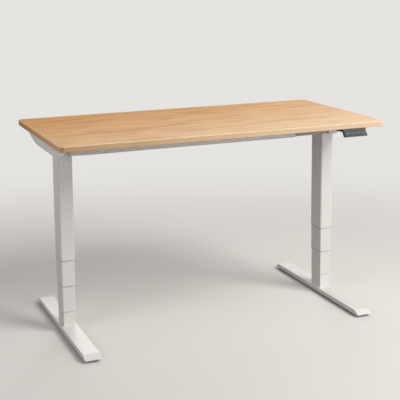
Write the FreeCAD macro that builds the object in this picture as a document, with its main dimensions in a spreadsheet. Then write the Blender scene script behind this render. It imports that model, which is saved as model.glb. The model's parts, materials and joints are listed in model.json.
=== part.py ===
import FreeCAD, Part
import Sketcher
import math
import os
import re

# Height adjustable standing desk, in millimetres.
# X runs to the right along the front edge, Y to the back, Z up from the floor.
# Rest pose: both telescopic legs stand at a usual sitting-to-standing height.

SIZES = {
    # tabletop
    "top_length": 1400,
    "top_depth": 700,
    "top_thickness": 22,
    "top_corner_radius": 22,
    "top_edge_radius": 3,
    # telescopic legs; each tube is one wall and one gap smaller than the tube round it
    "leg_spacing": 1200,
    "outer_width": 60,
    "outer_depth": 90,
    "outer_corner_radius": 8,
    "outer_length": 443,
    "middle_length": 425,
    "inner_length": 408,
    "tube_wall": 1.2,
    "tube_gap": 0.9,
    "stage_reveal": 109,
    "plate_width": 76,
    "plate_depth": 124,
    "plate_thickness": 5,
    # plastic slide guides
    "guide_fit": 0.05,
    "slide_clearance": 0.3,
    "guide_rim": 1.2,
    "mouth_guide_height": 30,
    "top_guide_skirt": 35,
    "top_guide_plug": 10,
    "top_guide_cap": 3,
    # telescopic spindle drive
    "spindle_diameter": 14,
    "spindle_length": 411,
    "spindle_collar_diameter": 24,
    "spindle_collar_height": 5,
    "spindle_entry": 18,
    "hollow_diameter": 22,
    "hollow_length": 395,
    "hollow_collar_diameter": 34,
    "hollow_collar_height": 4,
    "spindle_nut_length": 30,
    "thread_fit": 0.06,
    "bore_clearance": 0.5,
    "guide_tube_diameter": 30,
    "guide_tube_wall": 2,
    "guide_tube_length": 423,
    "guide_nut_diameter": 34,
    "guide_nut_length": 25,
    # foot and its post
    "post_height": 62,
    "post_insert": 50,
    "post_wall": 3,
    "post_floor": 8,
    "post_fit": 0.15,
    "foot_length": 750,
    "foot_width": 68,
    "foot_height": 18,
    "foot_top_wall": 3,
    "foot_side_wall": 2.5,
    "foot_bevel": 28,
    "foot_tip_height": 4.5,
    "foot_edge_radius": 2,
    "foot_corner_radius": 6,
    "foot_plate_length": 100,
    "foot_plate_thickness": 4,
    "glide_clearance": 10,
    "glide_offset": 322,
    "glide_pad_diameter": 34,
    "glide_pad_height": 8,
    "glide_pad_chamfer": 2,
    "glide_stud_diameter": 8,
    "glide_stud_height": 16,
    "glide_boss_diameter": 18,
    "glide_boss_height": 12,
    # leg head, the steel housing over each column
    "head_height": 60,
    "head_front": 66,
    "head_rear": 100,
    "head_inboard": 40,
    "head_outboard": 57.5,
    "nose_length": 254,
    "nose_outboard": 5,
    "head_wall": 2.5,
    "head_corner_radius": 4,
    # gearmotor
    "gearbox_width": 58,
    "gearbox_height": 46,
    "gearbox_corner_radius": 6,
    "gearbox_hub_diameter": 30,
    "hub_clearance": 1,
    "motor_diameter": 42,
    "motor_length": 60,
    "motor_boss_diameter": 16,
    "motor_boss_length": 4,
    "worm_offset": 24,
    "worm_height": 27,
    "worm_case_diameter": 34,
    # side bracket
    "bracket_length": 600,
    "bracket_set_back": 35,
    "bracket_thickness": 2.5,
    "bracket_flat_length": 220,
    "bracket_end_depth": 25,
    "bracket_end_width": 44,
    "bracket_waist_length": 180,
    "bracket_lip": 12,
    # crossbar
    "rail_width": 20,
    "rail_height": 40,
    "rail_wall": 1.5,
    "rail_corner_radius": 3,
    "rail_length": 520,
    "cross_tube_length": 955,
    "cross_tube_wall": 2,
    "cross_tube_gap": 1.5,
    "cross_spacing": 220,
    "sleeve_depth": 25,
    "sleeve_rim": 2,
    "lock_screw_inset": 40,
    "lock_screw_pitch": 35,
    # control box
    "control_x": -60,
    "control_length": 240,
    "control_width": 92,
    "control_height": 34,
    "control_wall": 2,
    "control_plate": 3,
    "control_ear": 14,
    "control_corner_radius": 6,
    "inlet_width": 27,
    "inlet_height": 19,
    "inlet_depth": 15,
    "inlet_x": -70,
    "port_width": 13,
    "port_height": 11,
    "port_depth": 12,
    "port_pitch": 24,
    "port_x": 40,
    "socket_wall": 2.5,
    "case_boss_diameter": 7,
    "case_screw_diameter": 3,
    "case_screw_head": 5.5,
    "case_screw_head_height": 1.8,
    "board_post_height": 5,
    "control_board_depth": 56,
    "control_board_y": -10,
    "transformer_length": 60,
    "transformer_depth": 44,
    "transformer_height": 20,
    "capacitor_diameter": 16,
    # handset
    "handset_x": 548,
    "handset_width": 107,
    "handset_reach": 58,
    "handset_mount_height": 15,
    "handset_lip": 4,
    "handset_slab": 15,
    "handset_corner_radius": 3,
    "face_tilt": 52,
    "face_slope": 34,
    "face_width": 101,
    "face_height": 29,
    "face_thickness": 1.6,
    "face_corner_radius": 3,
    "face_fit": 0.1,
    "board_thickness": 1.6,
    "button_size": 9.6,
    "button_corner_radius": 2,
    "button_proud": 0.9,
    "button_travel": 0.6,
    "button_flange": 1,
    "button_flange_height": 1,
    "button_gap": 0.3,
    "button_pitch": 12,
    "button_first_x": -18,
    "window_width": 22,
    "window_height": 18,
    "window_x": -36,
    "window_corner_radius": 1.5,
    # fasteners
    "frame_bolt_diameter": 6,
    "frame_bolt_length": 12,
    "frame_bolt_head": 11,
    "frame_bolt_head_height": 3.3,
    "plate_bolt_x": 24,
    "plate_bolt_y": 54,
    "bracket_bolt_drop": 20,
    "bracket_bolt_near": 32,
    "bracket_bolt_far": 78,
    "foot_bolt_diameter": 8,
    "foot_bolt_head": 13,
    "foot_bolt_head_height": 5,
    "foot_bolt_grip": 7,
    "foot_bolt_x": 15,
    "foot_bolt_y": 26,
    "wood_screw_diameter": 4,
    "wood_screw_head": 9,
    "wood_screw_head_height": 2.5,
    "wood_screw_length": 14,
    "handset_screw_web": 3,
    "handset_screw_x": 30,
    "handset_screw_y": 38,
    "hole_clearance": 0.3,
    "bolt_fit": 0.05,
}

# Heights above the floor, worked out from the stack of pieces.
FOOT_BASE = "glide_clearance"
FOOT_TOP = "(glide_clearance + foot_height)"
INNER_BASE = f"({FOOT_TOP} + post_height)"
MIDDLE_BASE = f"({INNER_BASE} + stage_reveal)"
OUTER_BASE = f"({MIDDLE_BASE} + stage_reveal)"
PLATE_BASE = f"({OUTER_BASE} + outer_length)"
HEAD_BASE = f"({PLATE_BASE} + plate_thickness)"
TOP_BASE = f"({HEAD_BASE} + head_height)"

LEG_X = "(leg_spacing / 2)"
BRACKET_DEPTH = "(head_height + bracket_thickness)"
CROSS_Y = "(cross_spacing / 2)"
CROSS_Z = f"({HEAD_BASE} + rail_height / 2)"
CROSS_END = f"({LEG_X} - head_inboard)"
CROSS_TUBE_WIDTH = "(rail_width + 2 * (cross_tube_gap + cross_tube_wall))"
CROSS_TUBE_HEIGHT = "(rail_height + 2 * (cross_tube_gap + cross_tube_wall))"
CROSS_TUBE_RADIUS = "(rail_corner_radius + cross_tube_gap + cross_tube_wall)"
SIDES = {"left": -1, "right": 1}
ENDS = {"front": -1, "rear": 1}

doc = FreeCAD.newDocument("StandingDesk")
sheet = doc.addObject("Spreadsheet::Sheet", "Sizes")
for row, (size_name, size_value) in enumerate(SIZES.items(), start=1):
    sheet.set(f"A{row}", size_name)
    sheet.set(f"B{row}", str(size_value))
    sheet.setAlias(f"B{row}", size_name)
doc.recompute()


def vec(x=0.0, y=0.0, z=0.0):
    return FreeCAD.Vector(x, y, z)


def expression(words):
    """A size in words, with the sheet's name put before each alias."""
    return re.sub(r"[a-z_]+", lambda m: "Sizes." + m.group() if m.group() in SIZES else m.group(), str(words))


def num(words):
    """The present value of a size in words."""
    return float(sheet.evalExpression(expression(words)))


def bind(item, prop, words):
    item.setExpression(prop, expression(words))


# ---------------------------------------------------------------- sketches and features


def new_body(label, x="0", y="0", z="0"):
    """An empty body, placed by three sizes in words."""
    body = doc.addObject("PartDesign::Body", "Body_" + label)
    body.Label = label
    for axis, words in zip("xyz", (x, y, z)):
        bind(body, "Placement.Base." + axis, words)
    return body


def new_sketch(body, plane="XY", offset="0"):
    """A sketch on one of the body's own origin planes, shifted along that plane's normal."""
    sketch = body.newObject("Sketcher::SketchObject", body.Name + "_sketch")
    role = plane + "_Plane"
    support = [feature for feature in body.Origin.OriginFeatures if feature.Role == role][0]
    sketch.AttachmentSupport = (support, [""])
    sketch.MapMode = "FlatFace"
    bind(sketch, "AttachmentOffset.Base.z", offset)
    return sketch


def constrain(sketch, words, kind, *args):
    """Adds a dimension to the sketch and ties it to a size."""
    value = num(words)
    index = sketch.addConstraint(Sketcher.Constraint(kind, *args, value))
    bind(sketch, f"Constraints[{index}]", words)


def fix_point(sketch, geometry, vertex, x, y):
    """Ties a point of the sketch to its distances from the origin."""
    constrain(sketch, x, "DistanceX", -1, 1, geometry, vertex)
    constrain(sketch, y, "DistanceY", -1, 1, geometry, vertex)


def draw_circle(sketch, radius, x="0", y="0"):
    index = sketch.addGeometry(Part.Circle(vec(num(x), num(y)), vec(0, 0, 1), num(radius)))
    constrain(sketch, radius, "Radius", index)
    fix_point(sketch, index, 3, x, y)


def draw_outline(sketch, points):
    """A closed outline of straight lines through points given in words."""
    corners = [vec(num(x), num(y)) for x, y in points]
    first = sketch.GeometryCount
    for start, end in zip(corners, corners[1:] + corners[:1]):
        sketch.addGeometry(Part.LineSegment(start, end))
    count = len(corners)
    for step in range(count):
        line, following = first + step, first + (step + 1) % count
        sketch.addConstraint(Sketcher.Constraint("Coincident", line, 2, following, 1))
        fix_point(sketch, line, 1, *points[step])


def draw_rounded(sketch, width, depth, radius, x="0", y="0"):
    """A rectangle about (x, y) with four equal corner arcs tangent to its sides."""
    half_w, half_d, r = num(width) / 2, num(depth) / 2, num(radius)
    centre = vec(num(x), num(y))
    arcs, lines = [], []
    for turn, (sign_x, sign_y) in enumerate([(1, 1), (-1, 1), (-1, -1), (1, -1)]):
        middle = centre + vec(sign_x * (half_w - r), sign_y * (half_d - r))
        begin = turn * math.pi / 2
        circle = Part.Circle(middle, vec(0, 0, 1), r)
        arcs.append(sketch.addGeometry(Part.ArcOfCircle(circle, begin, begin + math.pi / 2)))
    for turn in range(4):
        start = sketch.getPoint(arcs[turn], 2)
        end = sketch.getPoint(arcs[(turn + 1) % 4], 1)
        lines.append(sketch.addGeometry(Part.LineSegment(start, end)))
    for turn in range(4):
        sketch.addConstraint(Sketcher.Constraint("Tangent", arcs[turn], 2, lines[turn], 1))
        sketch.addConstraint(Sketcher.Constraint("Tangent", lines[turn], 2, arcs[(turn + 1) % 4], 1))
        sketch.addConstraint(Sketcher.Constraint(("Horizontal", "Vertical")[turn % 2], lines[turn]))
    for arc in arcs[1:]:
        sketch.addConstraint(Sketcher.Constraint("Equal", arcs[0], arc))
    constrain(sketch, radius, "Radius", arcs[0])
    constrain(sketch, width, "DistanceX", lines[1], 1, lines[3], 1)
    constrain(sketch, depth, "DistanceY", lines[2], 1, lines[0], 1)
    constrain(sketch, f"{x} + ({width}) / 2", "DistanceX", -1, 1, lines[3], 1)
    constrain(sketch, f"{y} + ({depth}) / 2", "DistanceY", -1, 1, lines[0], 1)


def pad(body, sketch, length, down=False, both=False):
    """Thickens a sketch along its normal, against it, or equally to both sides."""
    feature = body.newObject("PartDesign::Pad", body.Name + "_pad")
    feature.Profile = sketch
    feature.SideType = "Symmetric" if both else "One side"
    feature.Reversed = down
    bind(feature, "Length", length)
    doc.recompute()
    return feature


def pocket(body, sketch, length, up=False, both=False):
    """Cuts a sketch into the body against its normal, along it, or to both sides."""
    before = body.Shape.Volume
    feature = body.newObject("PartDesign::Pocket", body.Name + "_pocket")
    feature.Profile = sketch
    feature.SideType = "Symmetric" if both else "One side"
    feature.Reversed = up
    bind(feature, "Length", length)
    doc.recompute()
    if not body.Shape.Volume < before - 1e-6:
        raise RuntimeError("a pocket cut nothing: " + feature.Name)
    return feature


def revolve(body, points):
    """Turns an outline of (radius, height) points about the body's Z axis."""
    sketch = new_sketch(body, "XZ")
    draw_outline(sketch, points)
    feature = body.newObject("PartDesign::Revolution", body.Name + "_turned")
    feature.Profile = sketch
    feature.ReferenceAxis = (sketch, ["V_Axis"])
    feature.Angle = 360
    doc.recompute()
    return feature


def fillet(body, radius, wanted):
    """Rounds the edges of the body's present shape that the test picks."""
    base = body.Tip
    names = [f"Edge{i}" for i, edge in enumerate(base.Shape.Edges, start=1) if wanted(edge)]
    feature = body.newObject("PartDesign::Fillet", body.Name + "_round")
    feature.Base = (base, names)
    bind(feature, "Radius", radius)
    doc.recompute()
    return feature


def at_height(edge, z):
    """True for an edge that lies wholly at one height."""
    box = edge.BoundBox
    return abs(box.ZMin - z) < 1e-6 and abs(box.ZMax - z) < 1e-6


def drill(body, plane, offset, places, radius, length, up=False):
    """Round holes of one size at several places, as one pocket."""
    sketch = new_sketch(body, plane, offset)
    for x, y in places:
        draw_circle(sketch, radius, x, y)
    pocket(body, sketch, length, up)


def copies(label, pattern, placements):
    """One node made of separate placed copies of a pattern body's shape."""
    feature = doc.addObject("Part::Feature", "Copies_" + label)
    feature.Label = label
    shape = pattern.Tip.Shape
    feature.Shape = Part.makeCompound([shape.transformed(place.toMatrix()) for place in placements])
    return feature


def spot(x, y, z, axis=(0, 0, 1)):
    """A placement at sizes in words, its Z axis turned to the given direction."""
    turn = FreeCAD.Rotation(vec(0, 0, 1), FreeCAD.Vector(*axis))
    return FreeCAD.Placement(vec(num(x), num(y), num(z)), turn)


# ---------------------------------------------------------------- fastener patterns


def headed_screw(label, head, head_height, shank, length):
    """A screw turned about Z: head below its seat at height 0, shank above it."""
    body = new_body(label)
    revolve(body, [
        ("0", f"-{head_height}"),
        (f"{head} / 2 - {head_height} / 3", f"-{head_height}"),
        (f"{head} / 2", f"-{head_height} / 2"),
        (f"{head} / 2", "0"),
        (f"{shank} / 2", "0"),
        (f"{shank} / 2", length),
        ("0", length),
    ])
    return body


FOOT_BOLT_LENGTH = "(foot_plate_thickness + foot_top_wall + foot_bolt_grip)"
LOCK_SCREW_LENGTH = "(cross_tube_wall + cross_tube_gap)"

frame_bolt = headed_screw(
    "frame_bolt_pattern", "frame_bolt_head", "frame_bolt_head_height", "frame_bolt_diameter",
    "frame_bolt_length")
lock_screw = headed_screw(
    "lock_screw_pattern", "frame_bolt_head", "frame_bolt_head_height", "frame_bolt_diameter",
    LOCK_SCREW_LENGTH)
foot_bolt = headed_screw(
    "foot_bolt_pattern", "foot_bolt_head", "foot_bolt_head_height", "foot_bolt_diameter",
    FOOT_BOLT_LENGTH)
case_screw = headed_screw(
    "case_screw_pattern", "case_screw_head", "case_screw_head_height", "case_screw_diameter",
    "(control_height + control_plate * 0.8)")
wood_screw = headed_screw(
    "wood_screw_pattern", "wood_screw_head", "wood_screw_head_height", "wood_screw_diameter",
    "wood_screw_length")

PLATE_BOLTS = [(f"{sx} * plate_bolt_x", f"{sy} * plate_bolt_y") for sx in (-1, 1) for sy in (-1, 1)]
FOOT_BOLTS = [(f"{sx} * foot_bolt_x", f"{sy} * foot_bolt_y") for sx in (-1, 1) for sy in (-1, 1)]
BRACKET_BOLTS_Y = ["-bracket_bolt_near", "bracket_bolt_near", "bracket_bolt_far"]
FRAME_BOLT_HOLE = "frame_bolt_diameter / 2 + hole_clearance"
WOOD_SCREW_HOLE = "wood_screw_diameter / 2 + hole_clearance"


def bracket_screws(side):
    """Places of the wood screws in a side bracket's web, from the bracket's own middle."""
    inner = f"{side} * (head_outboard - bracket_end_width * 0.6)"
    outer = f"{side} * (head_outboard - bracket_end_width * 0.25)"
    far, near = "bracket_length * 0.45", "bracket_length * 0.27"
    return [(x, f"{sign} * {y}") for sign in (-1, 1) for x, y in ((inner, near), (outer, far), (inner, far))]


CONTROL_SCREWS = [
    (f"{side} * (control_length + control_ear) / 2", f"{end} * control_width / 4")
    for side in (-1, 1) for end in (-1, 1)]
HANDSET_SCREWS = [(f"{side} * handset_screw_x", "handset_screw_y") for side in (-1, 1)]


def wood_screw_places():
    """Every wood screw as (x, y, depth of its seat below the tabletop)."""
    places = []
    for side in SIDES.values():
        for x, y in bracket_screws(side):
            places.append((f"{side} * {LEG_X} + {x}", f"{y} + bracket_set_back", "bracket_thickness"))
    for x, y in CONTROL_SCREWS:
        places.append((f"control_x + {x}", y, "control_plate"))
    for x, y in HANDSET_SCREWS:
        places.append((f"handset_x + {x}", f"{y} - top_depth / 2", "handset_screw_web"))
    return places


# ---------------------------------------------------------------- tabletop


def make_tabletop():
    """The board: plan corners rounded, edges softened, pilot holes for its screws below."""
    body = new_body("tabletop", z=TOP_BASE)
    plan = new_sketch(body)
    draw_rounded(plan, "top_length", "top_depth", "top_corner_radius")
    pad(body, plan, "top_thickness")
    top = num("top_thickness")
    fillet(body, "top_edge_radius", lambda edge: at_height(edge, top))
    fillet(body, "top_edge_radius / 2", lambda edge: at_height(edge, 0))
    pilots = [(x, y) for x, y, seat in wood_screw_places()]
    drill(body, "XY", "0", pilots, "wood_screw_diameter / 2 + bolt_fit", "wood_screw_length", up=True)


# ---------------------------------------------------------------- telescopic columns


def section(stage, inset="0"):
    """Width, depth and corner radius of a tube's outside, less an inset on every side.

    Stage 0 is the outer tube; each further stage is one wall and one gap smaller.
    """
    off = f"({stage} * (tube_wall + tube_gap) + {inset})"
    return (f"(outer_width - 2 * {off})", f"(outer_depth - 2 * {off})",
            f"max(outer_corner_radius - {off}; 0.3)")


def make_tube(label, stage, base, length, x):
    """A plain leg tube, open at both ends."""
    body = new_body(label, x=x, z=base)
    outside = new_sketch(body)
    draw_rounded(outside, *section(stage))
    pad(body, outside, length)
    bore = new_sketch(body)
    draw_rounded(bore, *section(stage, "tube_wall"))
    pocket(body, bore, length, up=True)
    return body


def make_outer_tube(name, side):
    """The widest tube with its welded top plate, which bolts under the leg head."""
    body = make_tube(f"{name}_outer_tube", 0, OUTER_BASE, "outer_length", f"{side} * {LEG_X}")
    plate = new_sketch(body, offset="outer_length")
    draw_rounded(plate, "plate_width", "plate_depth", "gearbox_corner_radius")
    pad(body, plate, "plate_thickness")
    drill(body, "XY", "outer_length", [("0", "0")], "gearbox_hub_diameter / 2 + hub_clearance",
          "plate_thickness", up=True)
    drill(body, "XY", "outer_length", PLATE_BOLTS, FRAME_BOLT_HOLE, "plate_thickness", up=True)


def add_mouth_guide(body, stage, base="0"):
    """The liner in a tube's lower mouth, with a thin rim that caps the tube's end."""
    rim = new_sketch(body, offset=base)
    draw_rounded(rim, *section(stage))
    pad(body, rim, "guide_rim", down=True)
    skirt = new_sketch(body, offset=base)
    draw_rounded(skirt, *section(stage, "tube_wall + guide_fit"))
    pad(body, skirt, "mouth_guide_height")
    bore = new_sketch(body, offset=f"{base} - guide_rim")
    draw_rounded(bore, *section(stage + 1, "-slide_clearance"))
    pocket(body, bore, "guide_rim + mouth_guide_height", up=True)


def add_top_guide(body, stage, bore_radius):
    """The cap on a moving tube's top end: a skirt outside the tube and a plug inside it."""
    outside = section(stage, "slide_clearance - tube_gap")
    skirt = new_sketch(body)
    draw_rounded(skirt, *outside)
    pad(body, skirt, "top_guide_skirt", down=True)
    slot = new_sketch(body)
    draw_rounded(slot, *section(stage, "-guide_fit"))
    pocket(body, slot, "top_guide_skirt")
    cap = new_sketch(body)
    draw_rounded(cap, *outside)
    pad(body, cap, "top_guide_cap")
    plug = new_sketch(body)
    draw_rounded(plug, *section(stage, "tube_wall + guide_fit"))
    pad(body, plug, "top_guide_plug", down=True)
    drill(body, "XY", "top_guide_cap", [("0", "0")], bore_radius, "top_guide_cap + top_guide_plug")


def make_slide_guides(name, side):
    """All the plastic guides of one column."""
    x = f"{side} * {LEG_X}"
    outer = new_body(f"{name}_outer_guide", x=x, z=OUTER_BASE)
    add_mouth_guide(outer, 0)
    mouth = new_body(f"{name}_middle_mouth_pattern", x=x, z=MIDDLE_BASE)
    add_mouth_guide(mouth, 1)
    top = new_body(f"{name}_middle_top_pattern", x=x, z=f"{MIDDLE_BASE} + middle_length")
    add_top_guide(top, 1, "hollow_diameter / 2 + thread_fit")
    pair = doc.addObject("Part::Compound", f"Pair_{name}_middle_guides")
    pair.Label = f"{name}_middle_guides"
    pair.Links = [mouth, top]
    inner = new_body(f"{name}_inner_guide", x=x, z=f"{INNER_BASE} + inner_length")
    add_top_guide(inner, 2, "guide_nut_diameter / 2 + bore_clearance")


def make_drive(name, side):
    """The telescopic spindle drive: a spindle in a hollow spindle in a guide tube with its nut."""
    x = f"{side} * {LEG_X}"
    spindle = new_body(f"{name}_drive_spindle", x=x, z=PLATE_BASE)
    top = "(plate_thickness + head_wall + spindle_entry)"
    collar_top = "-slide_clearance"
    collar_bottom = "-(slide_clearance + spindle_collar_height)"
    revolve(spindle, [
        ("0", top),
        ("spindle_diameter / 2", top),
        ("spindle_diameter / 2", collar_top),
        ("spindle_collar_diameter / 2", collar_top),
        ("spindle_collar_diameter / 2", collar_bottom),
        ("spindle_diameter / 2", collar_bottom),
        ("spindle_diameter / 2", "-spindle_length"),
        ("0", "-spindle_length"),
    ])
    seat = f"{MIDDLE_BASE} + middle_length + top_guide_cap + slide_clearance"
    hollow = new_body(f"{name}_hollow_spindle", x=x, z=seat)
    nut_bore = "spindle_diameter / 2 + thread_fit"
    free_bore = "spindle_diameter / 2 + bore_clearance"
    nut_end = "(hollow_collar_height - spindle_nut_length)"
    revolve(hollow, [
        (nut_bore, "hollow_collar_height"),
        ("hollow_collar_diameter / 2", "hollow_collar_height"),
        ("hollow_collar_diameter / 2", "0"),
        ("hollow_diameter / 2", "0"),
        ("hollow_diameter / 2", "-hollow_length"),
        (free_bore, "-hollow_length"),
        (free_bore, nut_end),
        (nut_bore, nut_end),
    ])
    guide = new_body(f"{name}_guide_tube", x=x, z=f"{FOOT_TOP} + post_floor")
    full = "(guide_tube_length + guide_nut_length)"
    revolve(guide, [
        ("guide_tube_diameter / 2 - guide_tube_wall", "0"),
        ("guide_tube_diameter / 2", "0"),
        ("guide_tube_diameter / 2", "guide_tube_length"),
        ("guide_nut_diameter / 2", "guide_tube_length"),
        ("guide_nut_diameter / 2", full),
        ("hollow_diameter / 2 + thread_fit", full),
        ("hollow_diameter / 2 + thread_fit", "guide_tube_length"),
        ("guide_tube_diameter / 2 - guide_tube_wall", "guide_tube_length"),
    ])


# ---------------------------------------------------------------- feet


def make_post(name, side):
    """The narrow post between foot and inner tube, with a thick floor that the foot bolts into."""
    body = new_body(f"{name}_foot_post", x=f"{side} * {LEG_X}", z=FOOT_TOP)
    fit = "tube_wall + post_fit"
    outside = new_sketch(body)
    draw_rounded(outside, *section(2, fit))
    pad(body, outside, "post_height + post_insert")
    bore = new_sketch(body, offset="post_floor")
    draw_rounded(bore, *section(2, f"{fit} + post_wall"))
    pocket(body, bore, "post_height + post_insert - post_floor", up=True)
    drill(body, "XY", "0", FOOT_BOLTS, "foot_bolt_diameter / 2 + bolt_fit", "post_floor", up=True)


def make_foot(name, side):
    """The foot: a flat channel with bevelled tips, its nut bosses and bolting plate inside."""
    body = new_body(f"{name}_foot", x=f"{side} * {LEG_X}", z=FOOT_BASE)
    profile = new_sketch(body, "YZ")
    tip, shoulder = "foot_length / 2", "(foot_length / 2 - foot_bevel)"
    draw_outline(profile, [
        (f"-{tip}", "0"),
        (tip, "0"),
        (tip, "foot_tip_height"),
        (shoulder, "foot_height"),
        (f"-{shoulder}", "foot_height"),
        (f"-{tip}", "foot_tip_height"),
    ])
    pad(body, profile, "foot_width", both=True)
    tip_y, top = num(tip), num("foot_height")
    shoulder_y = num(shoulder)

    def along_x(edge, y, z):
        box = edge.BoundBox
        return box.YLength < 1e-6 and abs(abs(box.YMin) - y) < 1e-6 and abs(box.ZMax - z) < 1e-6

    fillet(body, "foot_bevel / 2", lambda edge: along_x(edge, shoulder_y, top) and edge.BoundBox.XLength > 1)
    fillet(body, "foot_corner_radius", lambda edge: edge.BoundBox.ZLength > 1 and along_x(
        edge, tip_y, num("foot_tip_height")))
    half = num("foot_width") / 2
    fillet(body, "foot_edge_radius", lambda edge: abs(abs(edge.CenterOfMass.x) - half) < 1e-6
           and edge.BoundBox.YLength > num("foot_bevel") / 3 and edge.CenterOfMass.z > num("foot_tip_height"))
    hollow = new_sketch(body)
    draw_rounded(hollow, "foot_width - 2 * foot_side_wall",
                 "foot_length - 2 * (foot_bevel + foot_side_wall)", "foot_corner_radius")
    pocket(body, hollow, "foot_height - foot_top_wall", up=True)
    ceiling = "foot_height - foot_top_wall"
    plate = new_sketch(body, offset=ceiling)
    draw_rounded(plate, "foot_width - 2 * foot_side_wall + bolt_fit", "foot_plate_length", "foot_side_wall")
    pad(body, plate, "foot_plate_thickness", down=True)
    bosses = new_sketch(body, offset=ceiling)
    for sign in (-1, 1):
        draw_circle(bosses, "glide_boss_diameter / 2", "0", f"{sign} * glide_offset")
    pad(body, bosses, "glide_boss_height", down=True)
    studs = [("0", f"{sign} * glide_offset") for sign in (-1, 1)]
    drill(body, "XY", "0", studs, "glide_stud_diameter / 2 + bolt_fit", ceiling, up=True)
    drill(body, "XY", "0", FOOT_BOLTS, "foot_bolt_diameter / 2 + bolt_fit", "foot_height", up=True)


def make_glide(name, end, side, sign):
    """A levelling glide: a round pad on the floor and the stud that screws into the foot."""
    body = new_body(f"{name}_{end}_glide", x=f"{side} * {LEG_X}", y=f"{sign} * glide_offset")
    pad_radius, top = "glide_pad_diameter / 2", "glide_pad_height"
    revolve(body, [
        ("0", "0"),
        (f"{pad_radius} - glide_pad_chamfer / 2", "0"),
        (pad_radius, "glide_pad_chamfer"),
        (pad_radius, f"{top} - glide_pad_chamfer"),
        (f"{pad_radius} - glide_pad_chamfer", top),
        ("glide_stud_diameter / 2", top),
        ("glide_stud_diameter / 2", f"{top} + glide_stud_height"),
        ("0", f"{top} + glide_stud_height"),
    ])


def make_foot_bolts(name, side):
    """Four bolts from inside the foot up into the post's floor."""
    seat = f"{FOOT_TOP} - foot_top_wall - foot_plate_thickness"
    places = [spot(f"{side} * {LEG_X} + {x}", y, seat) for x, y in FOOT_BOLTS]
    copies(f"{name}_foot_bolts", foot_bolt, places)


# ---------------------------------------------------------------- leg head and gearmotor


def make_head(name, side):
    """The steel housing over the column: a wide gear case with a long narrow nose at each end.

    It is open at the top under the bracket, which bolts to its outboard wall.
    """
    body = new_body(f"{name}_head", x=f"{side} * {LEG_X}", z=HEAD_BASE)
    height = "(head_height - bracket_thickness)"
    # each block as width, length, and the middle of its plan from the leg's axis
    case = ("(head_inboard + head_outboard)", "(head_front + head_rear)",
            f"{side} * (head_outboard - head_inboard) / 2", "(head_rear - head_front) / 2")
    nose = ("(head_inboard + nose_outboard)", "nose_length",
            f"{side} * (nose_outboard - head_inboard) / 2", "0")
    for width, length, x, y in (case, nose):
        outside = new_sketch(body)
        draw_rounded(outside, width, length, "head_corner_radius", x, y)
        pad(body, outside, height)
    for width, length, x, y in (case, nose):
        inside = new_sketch(body, offset="head_wall")
        draw_rounded(inside, f"({width} - 2 * head_wall)", f"({length} - 2 * head_wall)",
                     "max(head_corner_radius - head_wall; 0.3)", x, y)
        pocket(body, inside, f"{height} - head_wall", up=True)
    drill(body, "XY", "0", [("0", "0")], "gearbox_hub_diameter / 2 + hub_clearance", "head_wall", up=True)
    drill(body, "XY", "0", PLATE_BOLTS, FRAME_BOLT_HOLE, "head_wall", up=True)
    holes = [(y, "head_height - bracket_bolt_drop") for y in BRACKET_BOLTS_Y]
    drill(body, "YZ", f"{side} * head_outboard", holes, FRAME_BOLT_HOLE, "head_wall", up=side < 0)


def make_gearmotor(name, side):
    """Worm gearbox over the spindle, and the motor beside it lying to the back, as two solids."""
    x, floor = f"{side} * {LEG_X}", f"{HEAD_BASE} + head_wall"
    gearbox = new_body(f"{name}_gearbox_pattern", x=x, z=floor)
    block = new_sketch(gearbox)
    draw_rounded(block, "gearbox_width", "gearbox_width", "gearbox_corner_radius")
    pad(gearbox, block, "gearbox_height")
    worm_case = new_sketch(gearbox, "XZ")
    draw_circle(worm_case, "worm_case_diameter / 2", f"{side} * worm_offset", "worm_height")
    pad(gearbox, worm_case, "gearbox_width", both=True)
    hub = new_sketch(gearbox)
    draw_circle(hub, "gearbox_hub_diameter / 2")
    pad(gearbox, hub, "head_wall + plate_thickness", down=True)
    drill(gearbox, "XY", "-(head_wall + plate_thickness)", [("0", "0")], "spindle_diameter / 2 + thread_fit",
          "head_wall + plate_thickness + spindle_entry + slide_clearance", up=True)
    motor = new_body(f"{name}_motor_pattern", x=x, z=floor)
    can = new_sketch(motor, "XZ", "-gearbox_width / 2")
    draw_circle(can, "motor_diameter / 2", f"{side} * worm_offset", "worm_height")
    pad(motor, can, "motor_length", down=True)
    rim = num("gearbox_width / 2 + motor_length")
    fillet(motor, "guide_rim", lambda edge: abs(edge.BoundBox.YMin - rim) < 1e-6
           and edge.BoundBox.YLength < 1e-6)
    boss = new_sketch(motor, "XZ", "-(gearbox_width / 2 + motor_length)")
    draw_circle(boss, "motor_boss_diameter / 2", f"{side} * worm_offset", "worm_height")
    pad(motor, boss, "motor_boss_length", down=True)
    pair = doc.addObject("Part::Compound", f"Pair_{name}_gearmotor")
    pair.Label = f"{name}_gearmotor"
    pair.Links = [gearbox, motor]


# ---------------------------------------------------------------- side brackets


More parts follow.
